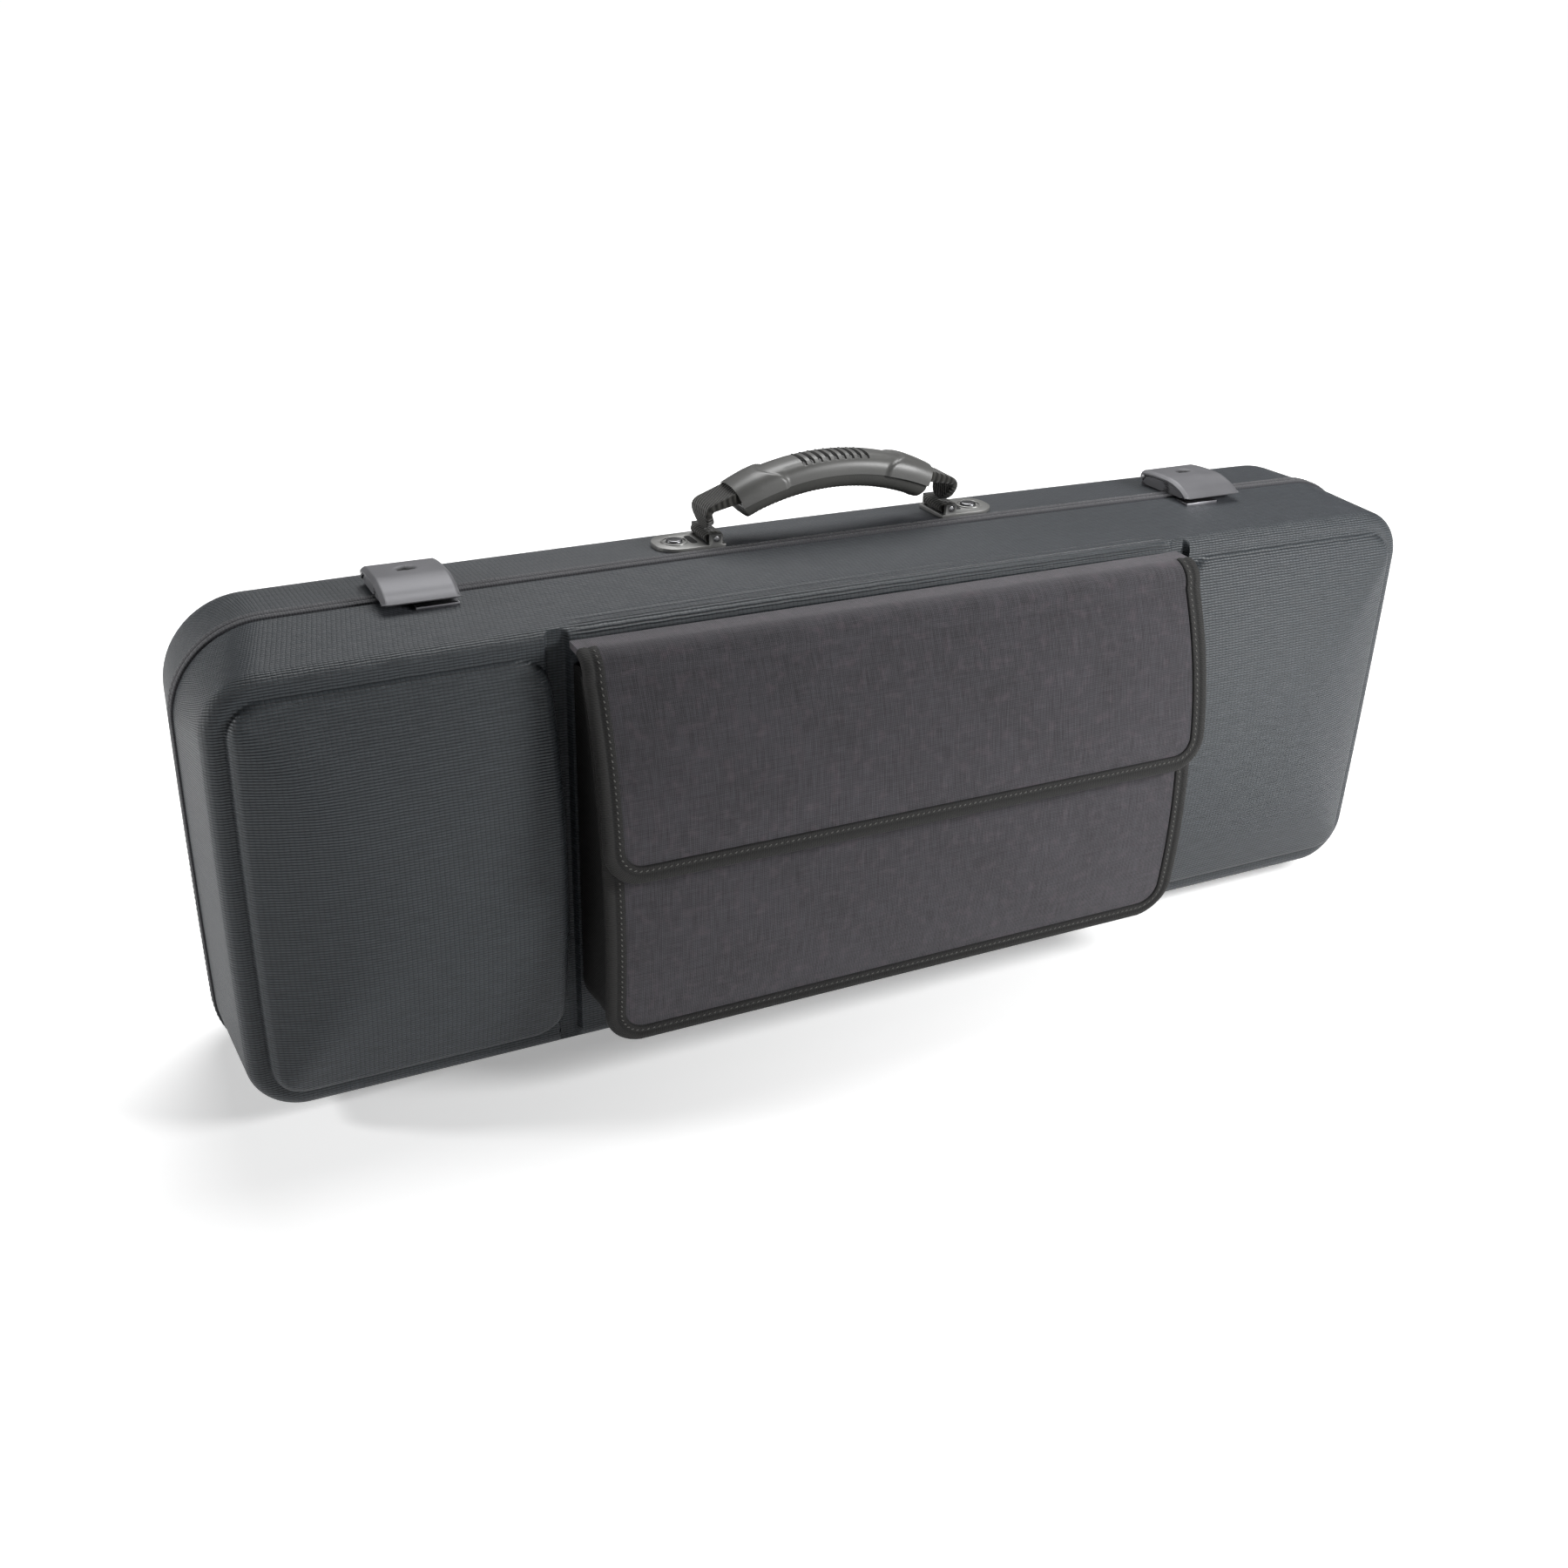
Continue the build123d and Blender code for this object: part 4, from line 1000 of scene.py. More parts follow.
# The flap runs up from its free edge, over the brow and back to the lid
flap = {
    "half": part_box("pocket_flap")[1].x,
    "low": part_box("pocket_flap")[0].z,
    "top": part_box("pocket_flap")[1].z - 0.4 * mm,
    "lowDepth": 119 * mm,
    "midDepth": 111.6 * mm,
    "midDrop": 64.5 * mm,
    "browLowDepth": 94 * mm,
    "browLowDrop": 14.5 * mm,
    "browDepth": 83 * mm,
    "browBulge": 90.6 * mm,
    "browFall": 4.2 * mm,
    "rootDepth": 68.4 * mm,
    "corner": 22 * mm,
    "thickness": 3.9 * mm,
    "bindingWidth": 10.5 * mm,
    "bindingProud": 1.1 * mm,
    "crown": 1.1 * mm,
    "crownReach": 16 * mm,
    "ripple": 0.18 * mm,
    "openEdge": 2 * mm,
    "fineAt": [118 * mm, 130 * mm],
}


def pocketLine():
    v = pocket
    middle = (seamY - v["midDepth"], (v["low"] + v["top"]) / 2)
    return arcLine((seamY - v["lowDepth"], v["low"]), middle, (seamY - v["topDepth"], v["top"]), 60)


def flapLine():
    v = flap
    top = v["top"]
    browLow = (seamY - v["browLowDepth"], top - v["browLowDrop"])
    middle = (seamY - v["midDepth"], top - v["midDrop"])
    face = arcLine((seamY - v["lowDepth"], v["low"]), middle, browLow, 40)
    bulge = (seamY - v["browBulge"], top - v["browFall"])
    brow = arcLine(browLow, bulge, (seamY - v["browDepth"], top), 14)
    shelf = [(seamY - depth, top) for depth in np.linspace(v["browDepth"], v["rootDepth"], 8)[1:]]
    return face + brow[1:] + shelf


pocketPanel = BentPanel(pocket, pocketLine())
flapPanel = BentPanel(flap, flapLine())
stitchSizes = {"Pitch": 3.5 * mm, "Length": 1.9 * mm, "Width": 0.8 * mm, "Height": 0.5 * mm, "Slant": 0.5}


# A panel with its binding and stitches, which stop short of its top. names gives each piece's node
def boundPanel(panel, names, sewing, body, short):
    v = panel.v
    name, tape = names
    padding = placed(panel.piece(name, "pocketCloth"), body, "pocket_cloth", names[name])
    top = panel.length - short
    placed(panel.binding(tape, top), body, "binding_tape", names[tape])
    x, s = panel.edge(v["bindingWidth"] * 0.72, top - 4 * mm)
    line = panel.at(x, s, v["bindingProud"] + 0.05 * mm + panel.crown(x, s))
    facing = np.stack([np.zeros(len(s)), *panel.along(s, panel.out)], 1)
    stitches(sewing, line, facing, "stitchThread", body, stitchSizes, "binding_tape")


# Strips of hook and of loop that hold the flap down
stripLow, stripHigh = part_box("flap_loop_strip")
closure = {"half": 150 * mm, "low": stripLow.z, "high": stripHigh.z, "lift": 0.9 * mm}


def closureStrip(name, panel, inner, body, node):
    v = closure
    low, high = (np.interp(z, panel.line[:, 1], panel.run) for z in (v["low"], v["high"]))
    x, s = np.meshgrid(np.linspace(-v["half"], v["half"], 80), np.linspace(low, high, 8))
    foot, side = (-panel.v["thickness"], -1) if inner else (panel.crown(x, s), 1)
    edge = np.minimum(v["half"] - np.abs(x), np.minimum(s - low, high - s))
    soft = np.clip(edge / (0.8 * mm), 0, 1) * 0.3 + 0.7
    near = panel.at(x, s, foot + side * 0.02 * mm)
    skin = Skin()
    skin.slab(near, panel.at(x, s, foot + side * v["lift"] * soft), np.stack([x, s], -1))
    placed(skin.piece(name, "hookLoop"), body, "hook_and_loop", node)


# Cloth wall round the pocket's sides and bottom, slack between its two sewn edges
gusset = {"thickness": 1.1 * mm, "slack": 1.6 * mm, "inset": 0.7 * mm, "seam": 0.4 * mm, "allowance": 1 * mm}


def pocketGusset():
    v = gusset
    back = lidFace["depth"] + 0.3 * mm
    x, s = pocketPanel.edge(0, pocketPanel.length - 0.5 * mm)
    line = pocketPanel.at(x, s, 0.0)[:, ::2]
    inward = squareTo(np.gradient(line, axis=0))
    along = travelled(line)
    front = seamY - pocketPanel.at(x, s, -pocket["thickness"])[:, 1]
    faces = [[], []]
    for share in np.linspace(0, 1, 15):
        sag = v["slack"] * math.sin(math.pi * share) * (0.75 + 0.25 * np.sin(along * 55 + share * 3))
        depth = back + (front + v["seam"] - back) * share
        for face, layer in zip(faces, (0, v["thickness"])):
            face.append(standing(line + inward * (v["inset"] + layer + sag)[:, None], seamY - depth))
    skin = Skin()
    skin.slab(*faces, np.stack(np.meshgrid(along, np.linspace(0, 40 * mm, 15)), -1))
    wall = placed(skin.piece("pocketGusset", "gussetCloth", 60), "lid", "gusset_cloth", "pocket_gusset")


pocketNames = {"pocketFront": "pocket_front", "pocketBinding": "pocket_binding"}
flapNames = {"pocketFlap": "pocket_flap", "flapBinding": "flap_binding"}
boundPanel(pocketPanel, pocketNames, "pocketStitches", "lid", 0.5 * mm)
boundPanel(flapPanel, flapNames, "flapStitches", "flap", 14 * mm)
closureStrip("pocketHookStrip", pocketPanel, False, "lid", "pocket_hook_strip")
closureStrip("flapLoopStrip", flapPanel, True, "flap", "flap_loop_strip")
pocketGusset()
print("pocket made")


# Latch levers: a bent metal cover with bevelled sides and a thumb dimple, on two bored side plates
latch = {
    "lipDepth": 20.6 * mm,
    "crestDepth": -6 * mm,
    "crestLift": 11.4 * mm,
    "lipLift": 3.0 * mm,
    "barrel": 4 * mm,
    "bevelWide": 2.4 * mm,
    "bevelDrop": 1.5 * mm,
    "sideDrop": 1.1 * mm,
    "sheet": 1.1 * mm,
    "lipRun": 3 * mm,
    "bore": 1.56 * mm,
    "plate": 2.0 * mm,
    "recess": 1.0 * mm,
    "gap": 0.9 * mm,
    "slit": 1.3 * mm,
    "slitDepth": 1.1 * mm,
    "lipBand": 7 * mm,
    "bandWide": 2.2 * mm,
    "bandDepth": 0.25 * mm,
    "dimpleDepth": 1.4 * mm,
    "dimpleWide": 5.2 * mm,
    "dimpleLong": 3.6 * mm,
    "dimpleBack": 7.5 * mm,
    "footLift": 0.9 * mm,
    "footFrom": 7 * mm,
}
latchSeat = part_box("left_latch_lever")[1].z - latch["crestLift"] + 0.1 * mm
latchPin = np.array([(a + b) / 2 for a, b in zip(*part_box("latch_pins"))][1:])


# Points round the latch pin, y and z, from one angle to another
def pinArc(radius, start, end, steps):
    turns = np.radians(np.linspace(start, end, steps))
    return latchPin + radius * np.stack([np.cos(turns), np.sin(turns)], 1)


def latchProfile():
    v = latch
    low, crest = latchSeat + v["lipLift"], latchSeat + v["crestLift"]
    tip, crestY = seamY - v["lipDepth"], seamY - v["crestDepth"]
    front = arcLine((tip, low + 0.8 * mm), (crestY - 14 * mm, crest - 1.5 * mm), (crestY, crest), 22)
    curl = pinArc(v["barrel"], 66, -80, 12)
    back = arcLine(front[-1], (crestY + 12 * mm, crest - 0.5 * mm), tuple(curl[0]), 14)
    lip = [(tip + 0.5 * mm, low - 0.1 * mm), (tip + 0.05 * mm, low + 0.3 * mm)]
    return np.array([*lip, *front, *back[1:], *curl[1:]])


# How far the dimple sinks at a place on the cover
def dimple(x, y):
    v = latch
    across = x / v["dimpleWide"]
    along = (y - (seamY - v["crestDepth"] + v["dimpleBack"])) / v["dimpleLong"]
    width = 1 - 0.25 * np.clip(along, -1, 1)
    return np.clip((1.15 - np.sqrt((across / width) ** 2 + along**2)) / 0.3, 0, 1)


def latchLever(name, body, node):
    v = latch
    low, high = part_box(node)
    centre, half = (low.x + high.x) / 2, (high.x - low.x) / 2
    line = latchProfile()
    out, run = lineOut(line), travelled(line)
    edge = half - v["bevelWide"]
    rim = [half - 0.8 * v["bevelWide"], half - 0.35 * v["bevelWide"], half, half]
    across = np.concatenate([-np.array(rim[::-1]), np.linspace(-edge, edge, 41), rim])
    share = np.clip((np.abs(across) - edge) / v["bevelWide"], 0, 1)
    drop = v["bevelDrop"] * share**1.15
    drop[[0, -1]] += v["sideDrop"]
    outer, inner, marks = [], [], []
    for (y, z), (outY, outZ), s in zip(line, out, run):
        ease = min(1.0, s / v["lipRun"])
        sink = dimple(across, y) * (1.0 if outZ > 0.3 else 0.0)
        band = v["bandDepth"] * math.exp(-(((s - v["lipBand"]) / v["bandWide"]) ** 2)) * (1 - share)
        fall = drop * (0.45 + 0.55 * ease) + sink * v["dimpleDepth"] + band
        deep = v["sheet"] * (0.45 if s > run[-12] else 0.35 + 0.65 * ease)
        under = np.minimum(drop, drop[1]) + deep + sink * v["dimpleDepth"]
        under[[0, -1]] = drop[0]
        narrow = np.clip(across, -half + v["sheet"], half - v["sheet"])
        for face, x, down in ((outer, across, fall), (inner, narrow, under)):
            face.append(np.stack([centre + x, y - outY * down, z - outZ * down], 1))
        # Painted shade: the dimple is marked to go near black
        marks.append(sink)
    skin = Skin()
    skin.slab(outer, inner, np.stack(np.meshgrid(across, run), -1), marks)
    cover = skin.piece("latchCover", "latchCover", 34)
    under = line - out * (v["bevelDrop"] + v["sheet"] + v["gap"])
    plates = [latchPlate(centre, half, way, under) for way in (-1, 1)]
    placed(joined(name, [cover, *plates], "latchCover", 34), body, "latch_cover", node)


# One side plate: a ring round the pin's bore, with a slit and a raised boss on its outer face
def latchPlate(centre, half, way, under):
    v = latch
    floor, seat = latchSeat + v["lipLift"] - 1.2 * mm, latchSeat + v["footLift"]
    foot = seamY + v["footFrom"]
    under = under[7:-11]
    under = under[under[:, 1] > floor + 0.2 * mm]
    bottom = [(y, seat) for y in np.linspace(latchPin[0] - 2.2 * mm, foot, 14)]
    bottom += [(foot - 0.2 * mm, z) for z in np.linspace(seat + 0.2 * mm, floor, 4)]
    bottom += [(y, floor) for y in np.linspace(foot - 1 * mm, under[0][0] + 0.5 * mm, 18)]
    spokes = np.array([*under, *pinArc(v["barrel"] - 0.5 * mm, 60, -90, 14), *bottom]) - latchPin
    reach = np.linalg.norm(spokes, axis=1)[:, None]
    spokes /= reach
    slitY = seamY - v["crestDepth"] - 3 * mm
    face = centre + way * (half - v["recess"])
    rings = []
    for share in (0, 0.04, 0.1, 0.2, 0.32, 0.4, 0.46, 0.5, 0.54, 0.6, 0.7, 0.8, 0.9, 0.97, 1.0):
        far = v["bore"] + (reach - v["bore"]) * share
        flat = latchPin + spokes * far
        deep = np.clip(1 - np.abs(flat[:, 0] - slitY) / v["slit"], 0, 1) * v["slitDepth"]
        deep += np.clip((far[:, 0] - v["barrel"] * 0.92) / (0.6 * mm), 0, 1) * 0.25 * mm
        deep += 0.35 * mm if share == 1.0 else 0.0
        rings.append(np.stack([face - way * deep, *flat.T], 1))
    back = np.full(len(spokes), face - way * v["plate"])
    rings += [np.stack([back, *(latchPin + spokes * far).T], 1) for far in (reach, v["bore"])]
    rings = np.array([looped(ring) for ring in (*rings, rings[0])])
    # Painted shade: the slit is marked to go near black
    marks = np.clip(1.3 - np.abs(rings[:, :, 1] - slitY) / v["slit"], 0, 1)
    skin = Skin()
    skin.grid(rings, rings[:, :, 1:], marks)
    return skin.piece("latchPlate", "latchCover", 34)


latchLever("leftLatch", "left_latch", "left_latch_lever")
latchLever("rightLatch", "right_latch", "right_latch_lever")
print("latches made")


# Carrying handle: a moulded grip over webbing whose folded ends stand on the bracket bars
# Angles along the grip's arch are in degrees
handle = {
    "radius": 165 * mm,
    "halfAngle": 24.0,
    "shellHigh": 12 * mm,
    "shellHalf": 13.6 * mm,
    "boxiness": 3.0,
    "underHigh": 9 * mm,
    "underHalf": 12.9 * mm,
    "underBoxiness": 3.4,
    "collarTop": 17.0,
    "collarSide": 12.5,
    "collarRise": 1.5 * mm,
    "collarBlend": 0.7,
    "endTuck": 1.2,
    "slots": 9,
    "slotPitch": 1.85,
    "slotHalf": 0.4,
    "slotReach": 11 * mm,
    "slotDepth": 1.5 * mm,
    "inlayDepth": 1.15 * mm,
    "facetFrom": 8.2 * mm,
    "facetWide": 1.2 * mm,
    "facetDepth": 0.35 * mm,
    "ribPitch": 1.1,
    "ribRise": 0.35 * mm,
    "web": 2.5 * mm,
    "webHalf": 11.9 * mm,
    "bend": 85.7 * mm,
    "bendDrop": 24.2 * mm,
    "bendRound": 5 * mm,
    "loopWide": 4.9 * mm,
    "loopHalf": 11.3 * mm,
    "loopThick": 1.15 * mm,
}
gripLow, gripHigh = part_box("grip_shell")
gripY = (gripLow.y + gripHigh.y) / 2
gripZ = gripHigh.z - handle["radius"]
barLow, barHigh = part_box("strap_loops")
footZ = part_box("handle_strap")[0].z


def gripSection(half, high, power, steps):
    turns = np.linspace(0, math.pi, steps)
    across = half * np.sign(np.cos(turns)) * np.abs(np.cos(turns)) ** (2 / power)
    return across, high * np.sin(turns) ** (2 / power)


# A section of the grip at one angle along its arch
def gripRing(angle, offsets, heights):
    turn = math.radians(angle)
    reach = handle["radius"] - handle["shellHigh"] + heights
    return np.stack([reach * math.sin(turn), gripY + offsets, gripZ + reach * math.cos(turn)], 1)


# An arched skin over its rows of points, closed by a flat face underneath
def archSkin(rows, angles, section):
    spread = travelled(np.stack(section, 1))
    cloth = np.stack(np.meshgrid(np.radians(angles) * handle["radius"], spread, indexing="ij"), -1)
    skin = Skin()
    skin.grid(rows, cloth)
    skin.grid(np.concatenate([rows[:, -1:], rows[:, :1]], 1), cloth[:, :2])
    return skin


def gripShell():
    v = handle
    end = v["halfAngle"]
    slots = [(i - (v["slots"] - 1) / 2) * v["slotPitch"] for i in range(v["slots"])]
    places = [*slots, *mirrored(end, end - 0.5)]
    places += [*np.arange(-end + 1, -9, 0.45), *np.arange(9, end - 0.6, 0.45)]
    for slot in slots:
        places += [slot + side for side in mirrored(v["slotHalf"] - 0.08, v["slotHalf"] + 0.08)]
    angles = sorted(set(np.round(places, 4)))
    section = across, high = gripSection(v["shellHalf"], v["shellHigh"] - 0.2 * mm, v["boxiness"], 45)
    top = high / high.max()
    start = v["collarSide"] + (v["collarTop"] - v["collarSide"]) * top**3
    reach = np.abs(across)
    rows = []
    for angle in angles:
        away = abs(angle)
        lift = np.clip((away - start) / v["collarBlend"] + 0.5, 0, 1) * v["collarRise"]
        lift = lift * (1 - 0.45 * np.clip((away - 19) / 5, 0, 1))
        inSlot = min(abs(angle - slot) for slot in slots) < v["slotHalf"] + 0.01
        sink = inSlot * v["slotDepth"] * np.clip((v["slotReach"] - reach) / (1.5 * mm), 0, 1) * (top > 0.5)
        facet = v["facetDepth"] * np.clip((reach - v["facetFrom"]) / v["facetWide"], 0, 1)
        facet = facet * (away < v["collarSide"])
        wide = across * (1 + (lift - sink * 0.1) / v["shellHalf"])
        rows.append(gripRing(angle, wide, high + lift * top - sink - facet * top))
    rows = np.array(rows)
    skin = archSkin(rows, angles, section)
    # Each end narrows to a lip and closes just behind it
    for index, way in ((0, -1), (-1, 1)):
        rim = rows[index]
        lip = rim.mean(0) + (rim - rim.mean(0)) * 0.86
        pivot = Vector((0, gripY, gripZ))
        swing = Matrix.Rotation(-way * math.radians(v["endTuck"]), 3, "Y")
        deep = np.array([swing @ (Vector(p) - pivot) + pivot for p in lip])
        rings = np.array([looped(ring) for ring in (rim, lip, deep)])
        skin.grid(rings, rings[:, :, :2])
        skin.cap(deep)
    placed(skin.piece("gripShell", "gripPlastic", 38), "handle", "grip_plastic", "grip_shell")
    turns = np.radians(np.linspace(slots[0], slots[-1], 60))
    arch = np.stack([np.sin(turns), np.cos(turns)], 1)
    reach = v["radius"] - v["inlayDepth"]
    sizes = {
        "Pitch": (turns[-1] - turns[0]) * reach / (v["slots"] - 1) * 0.9999,
        "Length": 1.75 * mm,
        "Width": 2 * v["slotReach"],
        "Height": 1.1 * mm,
    }
    line = standing(arch * reach + (0, gripZ), gripY)
    stitches("gripInlays", line, standing(arch, 0), "slotRubber", "handle", sizes, "grip_rubber")


def gripUnderside():
    v = handle
    section = across, high = gripSection(v["underHalf"], v["underHigh"], v["underBoxiness"], 41)
    angles = np.arange(-v["halfAngle"] + 0.1, v["halfAngle"], 0.18)
    rows = []
    for angle in angles:
        fromEnd = v["halfAngle"] - abs(angle)
        rib = 0.5 + 0.5 * math.cos(2 * math.pi * angle / v["ribPitch"])
        swell = 0.4 * mm * math.exp(-(((abs(angle) - 22.3) / 1.2) ** 2))
        close = 1 - 0.35 * max(0.0, 1 - fromEnd / 0.8) ** 2
        rise = rib * v["ribRise"] * min(1.0, fromEnd / 2.5) + swell
        rows.append(gripRing(angle, across, -(high * close + rise * (high / high.max()) ** 4)))
    rows = np.array(rows)
    skin = archSkin(rows, angles, section)
    for index in (0, -1):
        skin.cap(rows[index])
    placed(skin.piece("gripUnderside", "gripRubber", 50), "handle", "grip_rubber", "grip_underside")


# Flat webbing along a path in x and z, with a half width and half thickness at every point
def webbingAlong(name, path, halves, thick, closed=False):
    run = travelled(path)
    slope = np.gradient(path, run, axis=0)
    if closed:
        slope[0] = slope[-1] = path[1] - path[-2]
    section = [(-1, 0.45), (-0.97, 0.86), (-0.9, 1.0), *((t, 1.0) for t in np.linspace(-0.8, 0.8, 9))]
    section += [(0.9, 1.0), (0.97, 0.86), (1, 0.45)]
    section += [(a, -b) for a, b in reversed(section)]
    across, out = np.array([*section, section[0]]).T
    across = np.outer(halves, across)
    out = np.outer(thick, out)
    x, z = (path[:, i, None] + squareTo(slope)[:, i, None] * out for i in (0, 1))
    rows = np.stack([x, gripY + across, z], -1)
    skin = Skin()
    skin.grid(rows, np.stack([run[:, None] + 0 * across, across], -1))
    for end in () if closed else (0, -1):
        skin.cap(rows[end][:-1])
    return skin.piece(name, "webbing", 60)


# Rounded corners on a path of straight runs
def eased(corners, radius, step):
    corners = np.array(corners)
    line = [corners[0]]
    for before, here, after in zip(corners, corners[1:], corners[2:]):
        a, b = before - here, after - here
        cut = min(radius, np.linalg.norm(a) * 0.45, np.linalg.norm(b) * 0.45)
        first, last = here + a / np.linalg.norm(a) * cut, here + b / np.linalg.norm(b) * cut
        line += [(1 - t) ** 2 * first + 2 * t * (1 - t) * here + t * t * last for t in np.linspace(0, 1, 9)]
    line = np.array([*line, corners[-1]])
    run = travelled(line)
    even = np.linspace(0, run[-1], max(4, int(run[-1] / step)))
    return np.stack([np.interp(even, run, line[:, i]) for i in (0, 1)], 1)


def handleStrap():
    v = handle
    barX = barHigh.x - 3.5 * mm
    middle = v["radius"] - v["shellHigh"] + v["web"] / 2 + 0.4 * mm
    corners = []
    for short, rise in ((4, 0), (2, 2.2 * mm), (0, 4.4 * mm)):
        turn, reach = math.radians(v["halfAngle"] - short), middle + rise
        corners.append((reach * math.sin(turn), gripZ + reach * math.cos(turn)))
    corners += [(v["bend"] - 1.2 * mm, gripHigh.z - v["bendDrop"] - 1.2 * mm), (barX, footZ + 0.2 * mm)]
    path = eased(corners, v["bendRound"], 1.2 * mm)
    drop = np.clip((footZ + 12 * mm - path[:, 1]) / (12 * mm), 0, 0.98)
    low = np.clip((footZ + 9 * mm - path[:, 1]) / (6 * mm), 0, 1)
    near = np.clip((v["bend"] - 4 * mm - path[:, 0]) / (18 * mm), 0, 1)
    halves = v["webHalf"] * np.sqrt(1 - drop**2)
    thick = v["web"] / 2 * (1.75 + 1.15 * near * (low == 0) + 0.45 * low)
    ends = [webbingAlong("webbingEnd", path * (side, 1), halves, thick) for side in (-1, 1)]
    placed(joined("handleStrap", ends, "webbing", 60), "handle", "webbing", "handle_strap")
    turns = np.linspace(0, 2 * math.pi, 33)
    tall = (barHigh.z - barLow.z) / 2 - 0.9 * mm
    loops = []
    for side in (-1, 1):
        centre = (side * barX, (barLow.z + barHigh.z) / 2)
        path = centre + np.stack([v["loopWide"] * np.sin(turns), tall * np.cos(turns)], 1)
        loops.append(webbingAlong("webbingLoop", path, [v["loopHalf"]] * 33, [v["loopThick"]] * 33, True))
    placed(joined("strapLoops", loops, "webbing", 60), "base", "webbing", "strap_loops")


# A CAD piece with its flat faces made whole again and its edges eased
def softened(node, name, finish, width, slot, body, segments=2, fitted=None, marked=None):
    source = bpy.data.objects[node]
    work = bmesh.new()
    work.from_mesh(source.data)
    work.transform(source.matrix_world)
    bmesh.ops.remove_doubles(work, verts=work.verts, dist=1e-6)
    bmesh.ops.dissolve_limit(work, angle_limit=math.radians(0.6), verts=work.verts, edges=work.edges)
    for point in work.verts if fitted else ():
        point.co = fitted(point.co)
    mesh = bpy.data.meshes.new(name)
    work.to_mesh(mesh)
    work.free()
    if "custom_normal" in mesh.attributes:
        mesh.attributes.remove(mesh.attributes["custom_normal"])
    piece = shown(name, mesh, finish, 35)
    easing = piece.modifiers.new("edges", "BEVEL")
    easing.width, easing.segments = width, segments
    easing.limit_method = "ANGLE"
    easing.angle_limit = math.radians(35)
    easing.use_clamp_overlap = True
    easing.harden_normals = False
    settled(piece)
    piece.data.set_sharp_from_angle(angle=math.radians(50))
    if marked:
        dark = piece.data.attributes.new("pleatAndShade", "FLOAT", "POINT")
        dark.data.foreach_set("value", [marked(point.co) for point in piece.data.vertices])
    placed(piece, body, slot, node)


# Pressed ring round each bracket rivet, and the slot beside it, a thin inlay painted near black as the shade
# inside an opening
bracketDetail = {
    "ring": 7.4 * mm,
    "bead": 0.75 * mm,
    "slotAt": 90.5 * mm,
    "slotHalf": 2.2 * mm,
    "slotLong": 7 * mm,
}
rivetLow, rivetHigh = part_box("bracket_rivets")


def bracketDetails():
    v = bracketDetail
    skin = Skin()
    top = rivetHigh.z - 1.6 * mm
    y = (rivetLow.y + rivetHigh.y) / 2
    around = np.linspace(0, 2 * math.pi, 49)
    bead = np.linspace(0, 2 * math.pi, 11)
    reach = v["ring"] + v["bead"] * np.cos(bead)
    turns = np.linspace(0, 2 * math.pi, 33)
    across, along = (np.sign(wave) * np.abs(wave) ** 0.5 for wave in (np.cos(turns), np.sin(turns)))
    for side in (-1, 1):
        centre = side * (rivetHigh.x - (rivetHigh.y - rivetLow.y) / 2)
        x, z = centre + np.outer(np.cos(around), reach), top + v["bead"] * np.sin(bead)
        ring = np.stack([x, y + np.outer(np.sin(around), reach), np.broadcast_to(z, x.shape)], -1)
        skin.grid(ring, ring[:, :, :2])
        slot = []
        for share, lift in ((1.0, -0.3), (1.0, 0.12), (0.9, 0.2)):
            slotX = side * v["slotAt"] + across * v["slotHalf"] * share
            slotY = y + along * v["slotLong"] * share
            slot.append(np.stack([slotX, slotY, np.full(33, top + lift * mm)], 1))
        slot = np.array(slot)
        # Painted shade: the slot inlay is marked to go near black
        skin.cap(slot[0][:-1])
        skin.grid(slot, slot[:, :, :2], np.ones((3, 33)))
        skin.cap(slot[-1][:-1], 1.0)
    placed(skin.piece("bracketDetails", "bracketMetal", 50), "base", "bracket_metal")


# The bracket's ears and bar seat read dark under the webbing
def bracketShade(place):
    return 0.85 if place.z > rivetHigh.z - 1.3 * mm and abs(place.x) < 88 * mm else 0.0


# The keepers stop just past the levers' lips
def keeperEdge(place):
    return Vector((place.x, max(place.y, seamY - 20.2 * mm), place.z))


gripShell()
gripUnderside()
handleStrap()
bracketDetails()
print("handle made")


# Foam and padded pieces: the CAD shape with its corners pressed soft
def cushioned(node, name, finish, grain, passes, slot, body, fitted=None):
    source = bpy.data.objects[node]
    mesh = source.data.copy()
    mesh.transform(source.matrix_world)
    for point in mesh.vertices if fitted else ():
        point.co = fitted(point.co)
    piece = shown(name, mesh, finish, 60)
    skin = piece.modifiers.new("skin", "REMESH")
    skin.mode = "VOXEL"
    skin.voxel_size = grain
    skin.use_smooth_shade = True
    ease = piece.modifiers.new("ease", "SMOOTH")
    ease.factor, ease.iterations = 0.5, passes
    settled(piece)
    piece.data.materials.clear()
    piece.data.materials.append(finishes[finish])
    placed(piece, body, slot, node)


# The foam behind the lid's panels follows their fall towards the top
def underPanel(place):
    v = lidFace
    limit = float(lidPanelDepth(place.x, place.z - middleZ)) - 5.4 * mm
    deep = min(seamY - place.y, max(limit, v["depth"] - v["frontWall"]))
    return Vector((place.x, seamY - deep, place.z))


# Velour over thin padding on the inside of each half
lining = {"inset": 4.4 * mm, "thick": 5 * mm, "corner": 50 * mm}


def liningPiece(name, side, node, draft, edge, farEdge, body):
    v = lining
    near, far = sorted(side * (corner.y - seamY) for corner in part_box(node))
    shell, room = v["corner"] - v["inset"], v["corner"] - v["inset"] - v["thick"]
    outer = wallRings(near, far, draft, edge, v["corner"] - shell, shell, shell - 14 * mm, 7)
    inner = wallRings(near, far - v["thick"], draft, farEdge, v["corner"] - room, room, room - 12 * mm, 7)
    piece = halfShell(name, side, outer, inner, evenly(14 * mm), evenly(14 * mm), flatAt(far), "velour")
    placed(piece, body, "velour", node)


